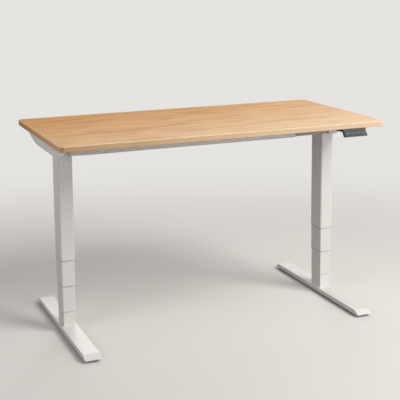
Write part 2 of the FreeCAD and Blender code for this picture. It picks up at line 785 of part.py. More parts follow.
def draw_arch(sketch, raised):
    """The bracket wall seen from the side, lifted off its bottom edge by a thickness.

    The bottom is flat in the middle and rises to both ends on arcs tangent to the flat.
    """
    half, flat = "(bracket_length / 2)", "(bracket_flat_length / 2)"
    top, end = f"-{raised}", f"-(bracket_end_depth - {raised})"
    low = f"-({BRACKET_DEPTH} - {raised})"
    h, f, t, e, m = (num(words) for words in (half, flat, top, end, low))
    radius = ((h - f) ** 2 + (e - m) ** 2) / (2 * (e - m))
    sweep = math.atan2(h - f, radius - (e - m))
    base = 1.5 * math.pi
    right = Part.ArcOfCircle(Part.Circle(vec(f, m + radius), vec(0, 0, 1), radius), base, base + sweep)
    left = Part.ArcOfCircle(Part.Circle(vec(-f, m + radius), vec(0, 0, 1), radius), base - sweep, base)
    parts = [
        Part.LineSegment(vec(-f, m), vec(f, m)), right,
        Part.LineSegment(vec(h, e), vec(h, t)), Part.LineSegment(vec(h, t), vec(-h, t)),
        Part.LineSegment(vec(-h, t), vec(-h, e)), left]
    bottom, right, rise, level, drop, left = (sketch.addGeometry(part) for part in parts)
    joined = [(right, 2, rise, 1), (rise, 2, level, 1), (level, 2, drop, 1), (drop, 2, left, 1)]
    for ends in joined:
        sketch.addConstraint(Sketcher.Constraint("Coincident", *ends))
    sketch.addConstraint(Sketcher.Constraint("Tangent", bottom, 2, right, 1))
    sketch.addConstraint(Sketcher.Constraint("Tangent", left, 2, bottom, 1))
    fix_point(sketch, bottom, 1, f"-{flat}", low)
    fix_point(sketch, bottom, 2, flat, low)
    fix_point(sketch, rise, 1, half, end)
    fix_point(sketch, level, 1, half, top)
    fix_point(sketch, level, 2, f"-{half}", top)
    fix_point(sketch, drop, 2, f"-{half}", end)


def make_bracket(name, side):
    """The pressed side bracket: a web under the top, an arched outer wall and a turned-in lip."""
    body = new_body(f"{name}_bracket", x=f"{side} * {LEG_X}", y="bracket_set_back", z=TOP_BASE)
    outboard = f"{side} * (head_outboard + bracket_thickness)"
    waist = f"-{side} * head_inboard"
    narrow = f"{side} * (head_outboard + bracket_thickness - bracket_end_width)"
    half, mid = "bracket_length / 2", "bracket_waist_length / 2"
    wall = new_sketch(body, "YZ", outboard)
    draw_arch(wall, "0")
    pad(body, wall, "bracket_lip", down=side > 0)
    inside = new_sketch(body, "YZ", f"{side} * head_outboard")
    draw_arch(inside, "bracket_thickness")
    pocket(body, inside, "bracket_lip", up=side < 0)
    web = new_sketch(body)
    draw_outline(web, [
        (outboard, f"-{half}"),
        (outboard, half),
        (narrow, half),
        (waist, f"{mid} + head_inboard - bracket_set_back"),
        (waist, f"-({mid} + head_inboard) - bracket_set_back"),
        (narrow, f"-{half}"),
    ])
    pad(body, web, "bracket_thickness", down=True)
    drill(body, "XY", "0", bracket_screws(side), WOOD_SCREW_HOLE, "bracket_thickness")
    holes = [(f"{y} - bracket_set_back", "-bracket_bolt_drop") for y in BRACKET_BOLTS_Y]
    drill(body, "YZ", outboard, holes, FRAME_BOLT_HOLE, "bracket_thickness", up=side < 0)


def make_frame_bolts():
    """Bolts from each column plate up into its head, and from each bracket into the head's side."""
    places = []
    for side in SIDES.values():
        for x, y in PLATE_BOLTS:
            places.append(spot(f"{side} * {LEG_X} + {x}", y, PLATE_BASE))
        face = f"{side} * ({LEG_X} + head_outboard + bracket_thickness)"
        for y in BRACKET_BOLTS_Y:
            places.append(spot(face, y, f"{TOP_BASE} - bracket_bolt_drop", axis=(-side, 0, 0)))
    copies("frame_bolts", frame_bolt, places)


def make_wood_screws():
    places = [spot(x, y, f"{TOP_BASE} - {seat}") for x, y, seat in wood_screw_places()]
    copies("wood_screws", wood_screw, places)


# ---------------------------------------------------------------- crossbar


def make_bar(label, x, y, width, height, radius, wall, length):
    """A rectangular steel tube lying along X."""
    body = new_body(label, x=x, y=y, z=CROSS_Z)
    outside = new_sketch(body, "YZ")
    draw_rounded(outside, width, height, radius)
    pad(body, outside, length, both=True)
    bore = new_sketch(body, "YZ")
    draw_rounded(bore, f"({width} - 2 * {wall})", f"({height} - 2 * {wall})", f"max({radius} - {wall}; 0.3)")
    pocket(body, bore, length, both=True)
    return body


MOUTH_X = f"(cross_tube_length - {CROSS_END})"
LOCK_SCREWS_X = [f"({MOUTH_X} - lock_screw_inset - {step} * lock_screw_pitch)" for step in (0, 1)]


def make_crossbar():
    """Two tubes from the left head, front and rear, and the rails from the right head inside them."""
    for end, sign in ENDS.items():
        y = f"{sign} * {CROSS_Y}"
        middle = f"(cross_tube_length / 2 - {CROSS_END})"
        tube = make_bar(f"{end}_cross_tube", middle, y, CROSS_TUBE_WIDTH, CROSS_TUBE_HEIGHT,
                        CROSS_TUBE_RADIUS, "cross_tube_wall", "cross_tube_length")
        drill(tube, "XZ", "0", [(f"{x} - {middle}", "0") for x in LOCK_SCREWS_X],
              "frame_bolt_diameter / 2 + bolt_fit", f"{CROSS_TUBE_WIDTH} / 2", up=sign > 0)
        make_bar(f"{end}_cross_rail", f"{CROSS_END} - rail_length / 2", y, "rail_width", "rail_height",
                 "rail_corner_radius", "rail_wall", "rail_length")


def make_rail_sleeves():
    """Plastic sleeves that guide the rails in the mouths of the two tubes."""
    sleeve = new_body("rail_sleeve_pattern")
    rim = new_sketch(sleeve)
    draw_rounded(rim, CROSS_TUBE_HEIGHT, CROSS_TUBE_WIDTH, CROSS_TUBE_RADIUS)
    pad(sleeve, rim, "sleeve_rim")
    skirt = new_sketch(sleeve)
    off = "(2 * (cross_tube_wall + bolt_fit))"
    draw_rounded(skirt, f"({CROSS_TUBE_HEIGHT} - {off})", f"({CROSS_TUBE_WIDTH} - {off})",
                 "(rail_corner_radius + cross_tube_gap - bolt_fit)")
    pad(sleeve, skirt, "sleeve_depth", down=True)
    bore = new_sketch(sleeve, offset="sleeve_rim")
    draw_rounded(bore, "(rail_height + 2 * bolt_fit)", "(rail_width + 2 * bolt_fit)",
                 "(rail_corner_radius + bolt_fit)")
    pocket(sleeve, bore, "sleeve_rim + sleeve_depth")
    places = [spot(MOUTH_X, f"{sign} * {CROSS_Y}", CROSS_Z, axis=(1, 0, 0)) for sign in ENDS.values()]
    copies("rail_sleeves", sleeve, places)


def make_lock_screws():
    """Screws on the inner sides of the tubes that clamp the rails at the chosen width."""
    places = []
    for sign in ENDS.values():
        face = f"{sign} * ({CROSS_Y} - {CROSS_TUBE_WIDTH} / 2)"
        for x in LOCK_SCREWS_X:
            places.append(spot(x, face, CROSS_Z, axis=(0, sign, 0)))
    copies("rail_lock_screws", lock_screw, places)


# ---------------------------------------------------------------- control box


CONTROL_BASE = f"({TOP_BASE} - control_plate - control_height)"
SOCKET_FLOOR = "(control_height / 2)"
CASE_SCREWS = [
    (f"{side} * (control_length / 2 - control_wall - case_boss_diameter / 2)",
     f"{end} * (control_width / 2 - control_wall - case_boss_diameter / 2)")
    for side in (-1, 1) for end in (-1, 1)]
BOARD_POSTS = [
    (f"{side} * (control_length / 2 - 3 * control_corner_radius)",
     f"(control_board_y + {end} * control_board_depth / 3)")
    for side in (-1, 1) for end in (-1, 1)]
PORTS_X = [f"(port_x + {step} * port_pitch)" for step in (-1, 0, 1)]


def make_control_box():
    """Mounting plate with ears against the top, tray-shaped case below it, sockets at the back."""
    plate = new_body("control_plate", x="control_x", z=TOP_BASE)
    blank = new_sketch(plate)
    draw_rounded(blank, "(control_length + 2 * control_ear)", "control_width", "control_corner_radius")
    pad(plate, blank, "control_plate", down=True)
    drill(plate, "XY", "0", CONTROL_SCREWS, WOOD_SCREW_HOLE, "control_plate")
    drill(plate, "XY", "-control_plate", CASE_SCREWS, "case_screw_diameter / 2 + bolt_fit",
          "control_plate - bolt_fit", up=True)

    case = new_body("control_case", x="control_x", z=CONTROL_BASE)
    outside = new_sketch(case)
    draw_rounded(outside, "control_length", "control_width", "control_corner_radius")
    pad(case, outside, "control_height")
    fillet(case, "control_wall", lambda edge: at_height(edge, 0))
    inside = new_sketch(case, offset="control_wall")
    draw_rounded(inside, "(control_length - 2 * control_wall)", "(control_width - 2 * control_wall)",
                 "(control_corner_radius - control_wall)")
    pocket(case, inside, "control_height - control_wall", up=True)
    windows = new_sketch(case, "XZ", "-control_width / 2")
    draw_rounded(windows, "inlet_width", "inlet_height", "socket_wall / 2", "inlet_x", SOCKET_FLOOR)
    for x in PORTS_X:
        draw_rounded(windows, "port_width", "port_height", "socket_wall / 2", x, SOCKET_FLOOR)
    pocket(case, windows, "control_wall", up=True)

    seats = new_sketch(case, offset="control_wall")
    for x, y in CASE_SCREWS + BOARD_POSTS:
        draw_circle(seats, "case_boss_diameter / 2", x, y)
    pad(case, seats, "board_post_height")
    bosses = new_sketch(case, offset="control_wall")
    for x, y in CASE_SCREWS:
        draw_circle(bosses, "case_boss_diameter / 2", x, y)
    pad(case, bosses, "control_height - control_wall")
    drill(case, "XY", "0", CASE_SCREWS, "case_screw_diameter / 2 + hole_clearance", "control_height", up=True)

    inlet = make_socket("inlet", ["inlet_x"], "inlet_width", "inlet_height", "inlet_depth", "0")
    ports = make_socket("ports", PORTS_X, "port_width", "port_height", "port_depth", "port_pitch")
    pair = doc.addObject("Part::Compound", "Pair_control_sockets")
    pair.Label = "control_sockets"
    pair.Links = [inlet, ports]
    make_control_board()
    copies("case_screws", case_screw, [spot(f"control_x + {x}", y, CONTROL_BASE) for x, y in CASE_SCREWS])


def make_socket(label, places, width, height, depth, pitch):
    """A block behind the case's back wall with a square recess for each plug."""
    middle = places[len(places) // 2]
    body = new_body(label + "_pattern", x=f"control_x + {middle}", y="control_width / 2 - control_wall",
                    z=f"{CONTROL_BASE} + {SOCKET_FLOOR}")
    span = f"({width} + {len(places) - 1} * {pitch} + 2 * socket_wall)"
    block = new_sketch(body, "XZ")
    draw_rounded(block, span, f"({height} + 2 * socket_wall)", "socket_wall")
    pad(body, block, f"{depth} + socket_wall")
    recess = new_sketch(body, "XZ")
    for place in places:
        draw_rounded(recess, width, height, "socket_wall / 2", f"({place} - {middle})")
    pocket(body, recess, depth, up=True)
    return body


def make_control_board():
    """The circuit board on its posts, with a transformer and three capacitors."""
    board = new_body("control_board", x="control_x", z=f"{CONTROL_BASE} + control_wall + board_post_height")
    card = new_sketch(board)
    draw_rounded(card, "(control_length - 4 * control_corner_radius)", "control_board_depth",
                 "control_wall", "0", "control_board_y")
    pad(board, card, "board_thickness")
    block = new_sketch(board, offset="board_thickness")
    draw_rounded(block, "transformer_length", "transformer_depth", "control_wall", "inlet_x",
                 "control_board_y")
    pad(board, block, "transformer_height")
    cans = new_sketch(board, offset="board_thickness")
    for step in (-1, 0, 1):
        draw_circle(cans, "capacitor_diameter / 2", f"port_x + {step} * port_pitch", "control_board_y")
    pad(board, cans, "transformer_height")


# ---------------------------------------------------------------- handset


FACE_DROP = "(handset_lip + face_slope / 2 * sin(face_tilt))"
FACE_FORWARD = "(-face_slope / 2 * cos(face_tilt))"
BUTTON_SEAT = "(face_thickness + button_gap + button_flange_height)"
BOARD_TOP = f"({BUTTON_SEAT} + button_travel + button_gap)"
CAVITY_DEPTH = f"({BOARD_TOP} + board_thickness)"
BUTTONS = ["up", "down", "one", "two", "three", "memory"]


def tilted_body(label, depth, along="0"):
    """A body whose XY plane is the handset's tilted face, sunk into it by a depth."""
    y = f"{FACE_FORWARD} - top_depth / 2 + {depth} * sin(face_tilt)"
    z = f"{TOP_BASE} - {FACE_DROP} - {depth} * cos(face_tilt)"
    body = new_body(label, x=f"handset_x + {along}", y=y, z=z)
    base = body.Placement.Base
    body.Placement = FreeCAD.Placement(base, FreeCAD.Rotation(vec(1, 0, 0), num("face_tilt")))
    bind(body, "Placement.Rotation.Angle", "face_tilt")
    return body


def make_handset_body():
    """The moulded casing: a mounting block under the top and a slab tilted to the user."""
    body = new_body("handset_body", x="handset_x", y="-top_depth / 2", z=TOP_BASE)
    profile = new_sketch(body, "YZ")
    lip_y, lip_z = "(-face_slope * cos(face_tilt))", "(-handset_lip - face_slope * sin(face_tilt))"
    rear_y = "(handset_slab - (face_slope - handset_lip) * cos(face_tilt) + handset_mount_height * 0.5)"
    draw_outline(profile, [
        ("handset_lip / 2", "0"),
        ("0", "-handset_lip"),
        (lip_y, lip_z),
        (f"{lip_y} + handset_slab", f"{lip_z} - bracket_thickness"),
        (f"{rear_y} + handset_lip", "-handset_mount_height + handset_lip / 2"),
        ("handset_reach", "-handset_mount_height"),
        ("handset_reach", "0"),
    ])
    pad(body, profile, "handset_width", both=True)
    half = num("handset_width") / 2
    fillet(body, "handset_corner_radius", lambda edge: edge.BoundBox.XLength < 1e-6
           and abs(abs(edge.BoundBox.XMin) - half) < 1e-6 and edge.BoundBox.ZMin < num("-handset_lip") - 1)
    cavity = new_sketch(body)
    cavity.AttachmentOffset = FreeCAD.Placement(vec(), FreeCAD.Rotation(vec(1, 0, 0), num("face_tilt")))
    bind(cavity, "AttachmentOffset.Base.y", FACE_FORWARD)
    bind(cavity, "AttachmentOffset.Base.z", f"-{FACE_DROP}")
    bind(cavity, "AttachmentOffset.Rotation.Angle", "face_tilt")
    draw_rounded(cavity, "face_width", "face_height", "face_corner_radius")
    pocket(body, cavity, CAVITY_DEPTH)
    drill(body, "XY", "0", HANDSET_SCREWS, WOOD_SCREW_HOLE, "handset_mount_height")
    drill(body, "XY", "-handset_screw_web", HANDSET_SCREWS, "wood_screw_head / 2 + hole_clearance",
          "handset_mount_height")


BUTTONS_X = [f"(button_first_x + {step} * button_pitch)" for step in range(len(BUTTONS))]


def make_handset_face():
    """The face plate, its display window, the board behind it and the six buttons."""
    face = tilted_body("handset_face", "0")
    plate = new_sketch(face)
    draw_rounded(plate, "(face_width - 2 * face_fit)", "(face_height - 2 * face_fit)",
                 "(face_corner_radius - face_fit)")
    pad(face, plate, "face_thickness", down=True)
    cut = new_sketch(face)
    hole = "(button_size + 2 * button_gap)"
    for x in BUTTONS_X:
        draw_rounded(cut, hole, hole, "(button_corner_radius + button_gap)", x)
    draw_rounded(cut, "window_width", "window_height", "window_corner_radius", "window_x")
    pocket(face, cut, "face_thickness")

    window = tilted_body("display_window", "0", "window_x")
    glass = new_sketch(window)
    draw_rounded(glass, "(window_width - 2 * bolt_fit)", "(window_height - 2 * bolt_fit)",
                 "(window_corner_radius - bolt_fit)")
    pad(window, glass, BOARD_TOP, down=True)

    board = tilted_body("handset_board", BOARD_TOP)
    card = new_sketch(board)
    draw_rounded(card, "(face_width - 2 * face_fit)", "(face_height - 2 * face_fit)",
                 "(face_corner_radius - face_fit)")
    pad(board, card, "board_thickness", down=True)

    for name, x in zip(BUTTONS, BUTTONS_X):
        button = tilted_body(f"button_{name}", BUTTON_SEAT, x)
        flange = new_sketch(button)
        wide = "(button_size + 2 * button_flange)"
        draw_rounded(flange, wide, wide, "button_corner_radius")
        pad(button, flange, "button_flange_height")
        cap = new_sketch(button)
        draw_rounded(cap, "button_size", "button_size", "button_corner_radius")
        pad(button, cap, f"{BUTTON_SEAT} + button_proud")
        crown = num(f"{BUTTON_SEAT} + button_proud")
        fillet(button, "button_proud / 2", lambda edge: at_height(edge, crown))


# ---------------------------------------------------------------- build, check and export


make_tabletop()
for leg_name, leg_side in SIDES.items():
    leg_x = f"{leg_side} * {LEG_X}"
    make_outer_tube(leg_name, leg_side)
    make_tube(f"{leg_name}_middle_tube", 1, MIDDLE_BASE, "middle_length", leg_x)
    make_tube(f"{leg_name}_inner_tube", 2, INNER_BASE, "inner_length", leg_x)
    make_slide_guides(leg_name, leg_side)
    make_drive(leg_name, leg_side)
    make_post(leg_name, leg_side)
    make_foot(leg_name, leg_side)
    make_foot_bolts(leg_name, leg_side)
    make_head(leg_name, leg_side)
    make_gearmotor(leg_name, leg_side)
    make_bracket(leg_name, leg_side)
    for end_name, end_sign in ENDS.items():
        make_glide(leg_name, end_name, leg_side, end_sign)
make_frame_bolts()
make_wood_screws()
make_crossbar()
make_rail_sleeves()
make_lock_screws()
make_control_box()
make_handset_body()
make_handset_face()
doc.recompute()

nodes = []
for item in doc.Objects:
    if "Invalid" in item.State or "Error" in item.State:
        raise RuntimeError(f"{item.Name} ({item.Label}) did not rebuild: {item.State}")
    if item.TypeId == "Sketcher::SketchObject" and not item.FullyConstrained:
        raise RuntimeError(f"{item.Name} is not fully constrained")
    whole = item.TypeId in ("PartDesign::Body", "Part::Feature", "Part::Compound")
    if whole and not item.Label.endswith("_pattern"):
        if item.Shape.isNull() or not item.Shape.isValid():
            raise RuntimeError(f"{item.Label} has no valid shape")
        nodes.append(item)

os.makedirs("parts", exist_ok=True)
for item in nodes:
    item.Shape.exportStep(os.path.join("parts", item.Label + ".step"))
    print(f"{item.Label}: {len(item.Shape.Solids)} solid(s), {item.Shape.Volume / 1000:.1f} cm3")
print(len(nodes), "nodes")
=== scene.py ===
import json
import math

import bpy
import numpy as np
from mathutils import Matrix, Vector


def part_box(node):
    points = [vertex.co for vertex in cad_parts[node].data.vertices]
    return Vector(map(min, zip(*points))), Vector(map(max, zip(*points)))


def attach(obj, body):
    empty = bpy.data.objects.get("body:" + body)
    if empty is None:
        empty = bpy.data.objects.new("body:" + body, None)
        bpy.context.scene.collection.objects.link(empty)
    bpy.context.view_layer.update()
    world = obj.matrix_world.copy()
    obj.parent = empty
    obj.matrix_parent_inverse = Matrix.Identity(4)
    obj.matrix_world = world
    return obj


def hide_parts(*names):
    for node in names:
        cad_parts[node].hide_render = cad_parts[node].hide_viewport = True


bl_info = {
    "name": "Standing Desk Finish",
    "version": (1, 0, 0),
    "blender": (4, 5, 0),
    "location": "3D View > Sidebar > Desk",
    "description": "Finishes a height adjustable desk: oak top, powder-coated frame, handset and stage",
    "category": "Object",
}

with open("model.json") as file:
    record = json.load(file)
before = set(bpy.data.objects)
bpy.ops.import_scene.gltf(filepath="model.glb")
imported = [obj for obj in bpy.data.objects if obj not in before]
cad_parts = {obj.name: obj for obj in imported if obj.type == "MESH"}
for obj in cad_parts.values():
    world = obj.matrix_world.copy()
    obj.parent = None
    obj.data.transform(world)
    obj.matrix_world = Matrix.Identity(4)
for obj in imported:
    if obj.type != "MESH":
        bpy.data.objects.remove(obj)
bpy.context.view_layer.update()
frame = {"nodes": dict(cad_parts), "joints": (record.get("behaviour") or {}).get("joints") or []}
NODES = frame["nodes"]
SIDES = ("left", "right")
BUTTONS = ("up", "down", "one", "two", "three", "memory")

# Heights of the painted shadow line round a foot post under the inner tube's mouth and of the glue line above
# the board's edge band.
SHADOW_LINE = 0.0018
SEAM = 0.00036
# Distances from the board's edge between which its face turns pale with a painted highlight.
RIM_START, RIM_END = 0.008, 0.003
# How far each layer hides the wood: the band on the long sides, the painted highlight on the rounded upper
# edge, the painted highlight on the face's rim, the glue line and the dull underside.
BAND_SHARE, EDGE_HIGHLIGHT_SHARE, RIM_HIGHLIGHT_SHARE, SEAM_SHARE, DULL_SHARE = 0.75, 0.8, 0.45, 0.45, 0.35
# A normal's part beyond which a face counts as level, or as the board's end.
LEVEL_FACING, END_FACING = 0.9, 0.75
# Two measures closer than this are the same.
SAME = 1e-5
# Gap under a printed sign or a lit digit, and their thicknesses.
LIFT, SIGN_THICKNESS, DIGIT_THICKNESS = 0.00002, 0.00012, 0.00008
# Places of the digits and of the point from the window's middle, and the distance they are counted in,
# as a share of a digit's height.
DIGIT_PLACES, POINT_PLACE, DIGIT_STEP = (-0.78, 0.0, 0.86), 0.43, 0.85
# Threads in a metre of the spindle and of the hollow spindle round it.
SPINDLE_THREADS, SLEEVE_THREADS = 250, 200
# Distances from the middle between which the floor fades into the world's even light.
FADE_START, FADE_END = 1.0, 3.3


def srgb(red, green, blue):
    """A colour given as display values from 0 to 255, in Blender's linear values."""
    part = np.array([red, green, blue]) / 255
    linear = np.where(part <= 0.04045, part / 12.92, ((part + 0.055) / 1.055) ** 2.4)
    return (*linear.tolist(), 1.0)


# ------------------------------------------------------------------ settings


def colour(name, description, *value):
    return bpy.props.FloatVectorProperty(
        name=name, description=description, subtype="COLOR", size=4, min=0, max=1, default=srgb(*value)
    )


def length(name, description, metres):
    return bpy.props.FloatProperty(
        name=name, description=description, default=metres, min=0, unit="LENGTH", subtype="DISTANCE"
    )


def number(name, description, value, unit="NONE"):
    return bpy.props.FloatProperty(name=name, description=description, default=value, unit=unit)


class DeskTopSettings(bpy.types.PropertyGroup):
    # The two colours between the streaks hold painted light: the front right's is paler, a painted sheen, and
    # the back left's darker and warmer, a painted shade.
    lit_wood: colour("Light wood", "Colour between the streaks at the board's front right", 243, 218, 187)
    shaded_wood: colour("Warm wood", "Colour between the streaks at the board's back left", 229, 173, 115)
    dark_wood: colour("Dark wood", "Colour of the soft streaks of the oak", 199, 150, 103)
    pore: colour("Pores", "Colour of the short dark pores", 160, 114, 72)
    edge_band: colour("Edge band", "Colour of the band glued round the board", 217, 190, 160)
    # Painted shade: the band is painted darker towards the board's left end, where less light falls.
    band_shade: colour("Edge band, left", "Colour of the band towards the board's left end", 171, 138, 97)
    # Painted highlight: the rounded upper edge is painted pale where the light catches it.
    edge_highlight: colour("Upper edge", "Pale colour of the rounded upper edge", 252, 226, 192)
    band_height: length("Laminate", "Thickness of the face layer above the edge band", 0.0009)


class DeskFrameSettings(bpy.types.PropertyGroup):
    paint: colour("Powder coat", "Colour of the painted steel frame", 224, 221, 219)
    rail: colour("Sliding rails", "Colour of the rails that slide in the crossbar", 168, 158, 150)
    grain: length("Coat grain", "Size of the powder coat's fine bumps", 0.0009)


class DeskHandsetSettings(bpy.types.PropertyGroup):
    ink: colour("Legend ink", "Colour of the printed arrows and numbers", 176, 182, 190)
    glow: colour("Display digits", "Colour of the lit digits", 190, 222, 255)
    legend_height: length("Legend height", "Height of a button's printed sign", 0.0042)
    digit_height: length("Digit height", "Height of the lit digits", 0.0088)
    stroke: length("Stroke", "Width of a printed line", 0.0007)


class DeskStageSettings(bpy.types.PropertyGroup):
    floor: colour("Floor", "Colour of the plain floor", 238, 236, 233)
    floor_radius: length("Floor radius", "Radius of the floor", 40.0)
    background: number("Background", "Brightness of the floor and the world far from the desk", 0.92)
    ambient: number("Ambient light", "Strength of the light from all round", 0.25)
    lens: number("Lens", "Focal length of the camera in millimetres", 87.43, "CAMERA")


# ------------------------------------------------------------------ node trees


def add_node(tree, kind, inputs=None, **settings):
    """A shader node with its settings and socket values; a socket value may be another socket to link."""
    node = tree.nodes.new(kind)
    for name, value in settings.items():
        setattr(node, name, value)
    for key, value in (inputs or {}).items():
        if isinstance(value, bpy.types.NodeSocket):
            tree.links.new(value, node.inputs[key])
        else:
            node.inputs[key].default_value = value
    return node


def math_node(tree, operation, *values, clamp=False):
    return add_node(
        tree, "ShaderNodeMath", dict(enumerate(values)), operation=operation, use_clamp=clamp
    ).outputs[0]


def product(tree, first, second):
    return math_node(tree, "MULTIPLY", first, second)


def absolute(tree, value):
    return math_node(tree, "ABSOLUTE", value)


def split_axes(tree, vector):
    return add_node(tree, "ShaderNodeSeparateXYZ", {0: vector}).outputs


def join_axes(tree, x, y, z):
    return add_node(tree, "ShaderNodeCombineXYZ", {"X": x, "Y": y, "Z": z}).outputs[0]


def grey_colour(tree, value):
    return add_node(tree, "ShaderNodeCombineColor", {0: value, 1: value, 2: value}).outputs[0]


def map_range(tree, value, start, stop, **settings):
    """0 at the start and 1 at the stop, held beyond both."""
    inputs = {"Value": value, "From Min": start, "From Max": stop}
    return add_node(tree, "ShaderNodeMapRange", inputs, **settings).outputs[0]


def blend_colour(tree, factor, low, high, mode="MIX"):
    inputs = {"Factor": factor, 6: low, 7: high}
    return add_node(tree, "ShaderNodeMix", inputs, data_type="RGBA", blend_type=mode).outputs[2]


def multiply_colour(tree, first, second):
    return blend_colour(tree, 1.0, first, second, "MULTIPLY")


def ramp(tree, factor, *stops):
    """A grey ramp through (position, value) stops."""
    node = add_node(tree, "ShaderNodeValToRGB", {"Fac": factor})
    elements = node.color_ramp.elements
    while len(elements) < len(stops):
        elements.new(0.5)
    for element, (position, value) in zip(elements, stops):
        element.position = position
        element.color = (value, value, value, 1)
    return node.outputs["Color"]


def stretch(tree, vector, scale, offset=(0, 0, 0)):
    inputs = {"Vector": vector, "Scale": scale, "Location": offset}
    return add_node(tree, "ShaderNodeMapping", inputs).outputs[0]


def noise(tree, vector, scale, detail, roughness=0.5):
    inputs = {"Vector": vector, "Scale": scale, "Detail": detail, "Roughness": roughness}
    return add_node(tree, "ShaderNodeTexNoise", inputs).outputs[0]


def stretched_noise(tree, vector, scales, detail, roughness=0.5, offset=(0, 0, 0)):
    """Noise with its own scale along each axis."""
    return noise(tree, stretch(tree, vector, scales, offset), 1.0, detail, roughness)


def new_group(name, inputs, outputs):
    """An empty shader node group with named sockets, and its input and output nodes."""
    tree = bpy.data.node_groups.new(name, "ShaderNodeTree")
    for label, kind, value in inputs:
        socket = tree.interface.new_socket(label, in_out="INPUT", socket_type="NodeSocket" + kind)
        if value is not None:
            socket.default_value = value
    for label, kind in outputs:
        tree.interface.new_socket(label, in_out="OUTPUT", socket_type="NodeSocket" + kind)
    return tree, tree.nodes.new("NodeGroupInput").outputs, tree.nodes.new("NodeGroupOutput").inputs


def place_group(tree, name, inputs):
    return add_node(tree, "ShaderNodeGroup", inputs, node_tree=bpy.data.node_groups[name]).outputs


def build_grain_group():
    """Oak grain along the vector's X: broad soft streaks, fine growth lines and short pores.

    The dark colour's share is 0.26 broad + 0.58 patch + 0.34 fine, and the pores are laid over it.
    """
    tree, given, out = new_group(
        "Oak grain",
        [("Vector", "Vector", None), ("Light", "Color", (1, 1, 1, 1)), ("Dark", "Color", (0, 0, 0, 1)),
         ("Pore", "Color", (0, 0, 0, 1))],
        [("Color", "Color"), ("Roughness", "Float"), ("Height", "Float")])
    place = split_axes(tree, given["Vector"])
    sway = stretched_noise(tree, given["Vector"], (1.3, 2.6, 2.6), 2.0)
    across = math_node(tree, "ADD", place["Y"], product(tree, sway, 0.11))
    bent = join_axes(tree, place["X"], across, place["Z"])
    broad = ramp(tree, stretched_noise(tree, bent, (1.3, 9, 9), 3.0, 0.55), (0.36, 0.0), (0.70, 1.0))
    patches = stretched_noise(tree, bent, (4.5, 24, 24), 2.0, offset=(4, 1, 0))
    patch = ramp(tree, patches, (0.46, 0.0), (0.66, 1.0))
    fine = ramp(tree, stretched_noise(tree, bent, (1.5, 60, 60), 5.0, 0.66), (0.35, 0.0), (0.68, 1.0))
    dashes = ramp(tree, stretched_noise(tree, bent, (34, 900, 900), 2.0), (0.60, 0.0), (0.72, 1.0))
    streak = math_node(tree, "MULTIPLY_ADD", patch, 0.58, product(tree, broad, 0.26))
    tone = math_node(tree, "MULTIPLY_ADD", fine, 0.34, streak, clamp=True)
    wood = blend_colour(tree, tone, given["Light"], given["Dark"])
    speck = product(tree, dashes, 0.34)
    tree.links.new(blend_colour(tree, speck, wood, given["Pore"]), out["Color"])
    tree.links.new(math_node(tree, "MULTIPLY_ADD", fine, 0.08, 0.40), out["Roughness"])
    tree.links.new(math_node(tree, "SUBTRACT", product(tree, fine, 0.4), dashes), out["Height"])


def build_coat_group():
    """A powder coat's or moulded plastic's fine bumps, with slow changes of tone and gloss."""
    tree, given, out = new_group(
        "Fine coat",
        [("Vector", "Vector", None), ("Grain", "Float", 0.001), ("Base", "Color", (1, 1, 1, 1)),
         ("Variation", "Float", 0.05), ("Gloss", "Float", 0.4)],
        [("Color", "Color"), ("Roughness", "Float"), ("Height", "Float")])
    scale = math_node(tree, "DIVIDE", 1.0, given["Grain"])
    bumps = noise(tree, given["Vector"], scale, 2.0)
    slow = noise(tree, given["Vector"], 5.0, 3.0)
    swing = math_node(tree, "MULTIPLY_ADD", slow, 2.0, -1.0)
    change = product(tree, swing, given["Variation"])
    factor = math_node(tree, "ADD", 1.0, math_node(tree, "MULTIPLY_ADD", bumps, 0.03, change))
    toned = multiply_colour(tree, given["Base"], grey_colour(tree, factor))
    tree.links.new(toned, out["Color"])
    tree.links.new(math_node(tree, "MULTIPLY_ADD", bumps, 0.12, given["Gloss"]), out["Roughness"])
    tree.links.new(bumps, out["Height"])


def build_turning_group():
    """Fine rings round the vector's Z axis, as a lathe leaves them, and a spiral thread.

    The thread's ridge is a zigzag of (threads a metre times Z) + (angle / 2 pi).
    """
    tree, given, out = new_group(
        "Turned steel",
        [("Vector", "Vector", None), ("Base", "Color", (1, 1, 1, 1)), ("Threads", "Float", 0.0)],
        [("Color", "Color"), ("Roughness", "Float"), ("Height", "Float")])
    rings = stretched_noise(tree, given["Vector"], (6, 6, 2600), 3.0)
    cloud = noise(tree, given["Vector"], 38.0, 3.0)
    clouded = math_node(tree, "MULTIPLY_ADD", cloud, 0.12, 0.74)
    shade = math_node(tree, "MULTIPLY_ADD", rings, 0.30, clouded)
    toned = multiply_colour(tree, given["Base"], grey_colour(tree, shade))
    tree.links.new(toned, out["Color"])
    tree.links.new(math_node(tree, "MULTIPLY_ADD", rings, 0.22, 0.22), out["Roughness"])
    place = split_axes(tree, given["Vector"])
    turn = math_node(tree, "DIVIDE", math_node(tree, "ARCTAN2", place["Y"], place["X"]), 2 * math.pi)
    climb = product(tree, place["Z"], given["Threads"])
    thread = math_node(tree, "PINGPONG", math_node(tree, "ADD", climb, turn), 0.5)
    ridge = math_node(tree, "MULTIPLY_ADD", thread, 2.0, product(tree, rings, 0.1))
    tree.links.new(ridge, out["Height"])


def seen_directly(tree):
    """1 for rays from the camera and from mirrors and glass, 0 for rays that only carry light."""
    path = add_node(tree, "ShaderNodeLightPath").outputs
    mirrored = math_node(tree, "MAXIMUM", path["Is Glossy Ray"], path["Is Transmission Ray"])
    return math_node(tree, "MAXIMUM", path["Is Camera Ray"], mirrored)


def new_material(name, **shader):
    """A material with its Principled shader's plain values set, its tree and its object coordinates."""
    material = bpy.data.materials.new(name)
    material.use_nodes = True
    tree = material.node_tree
    surface = tree.nodes["Principled BSDF"]
    for key, value in shader.items():
        surface.inputs[key.replace("_", " ")].default_value = value
    vector = tree.nodes.new("ShaderNodeTexCoord").outputs["Object"]
    return material, tree, surface, vector


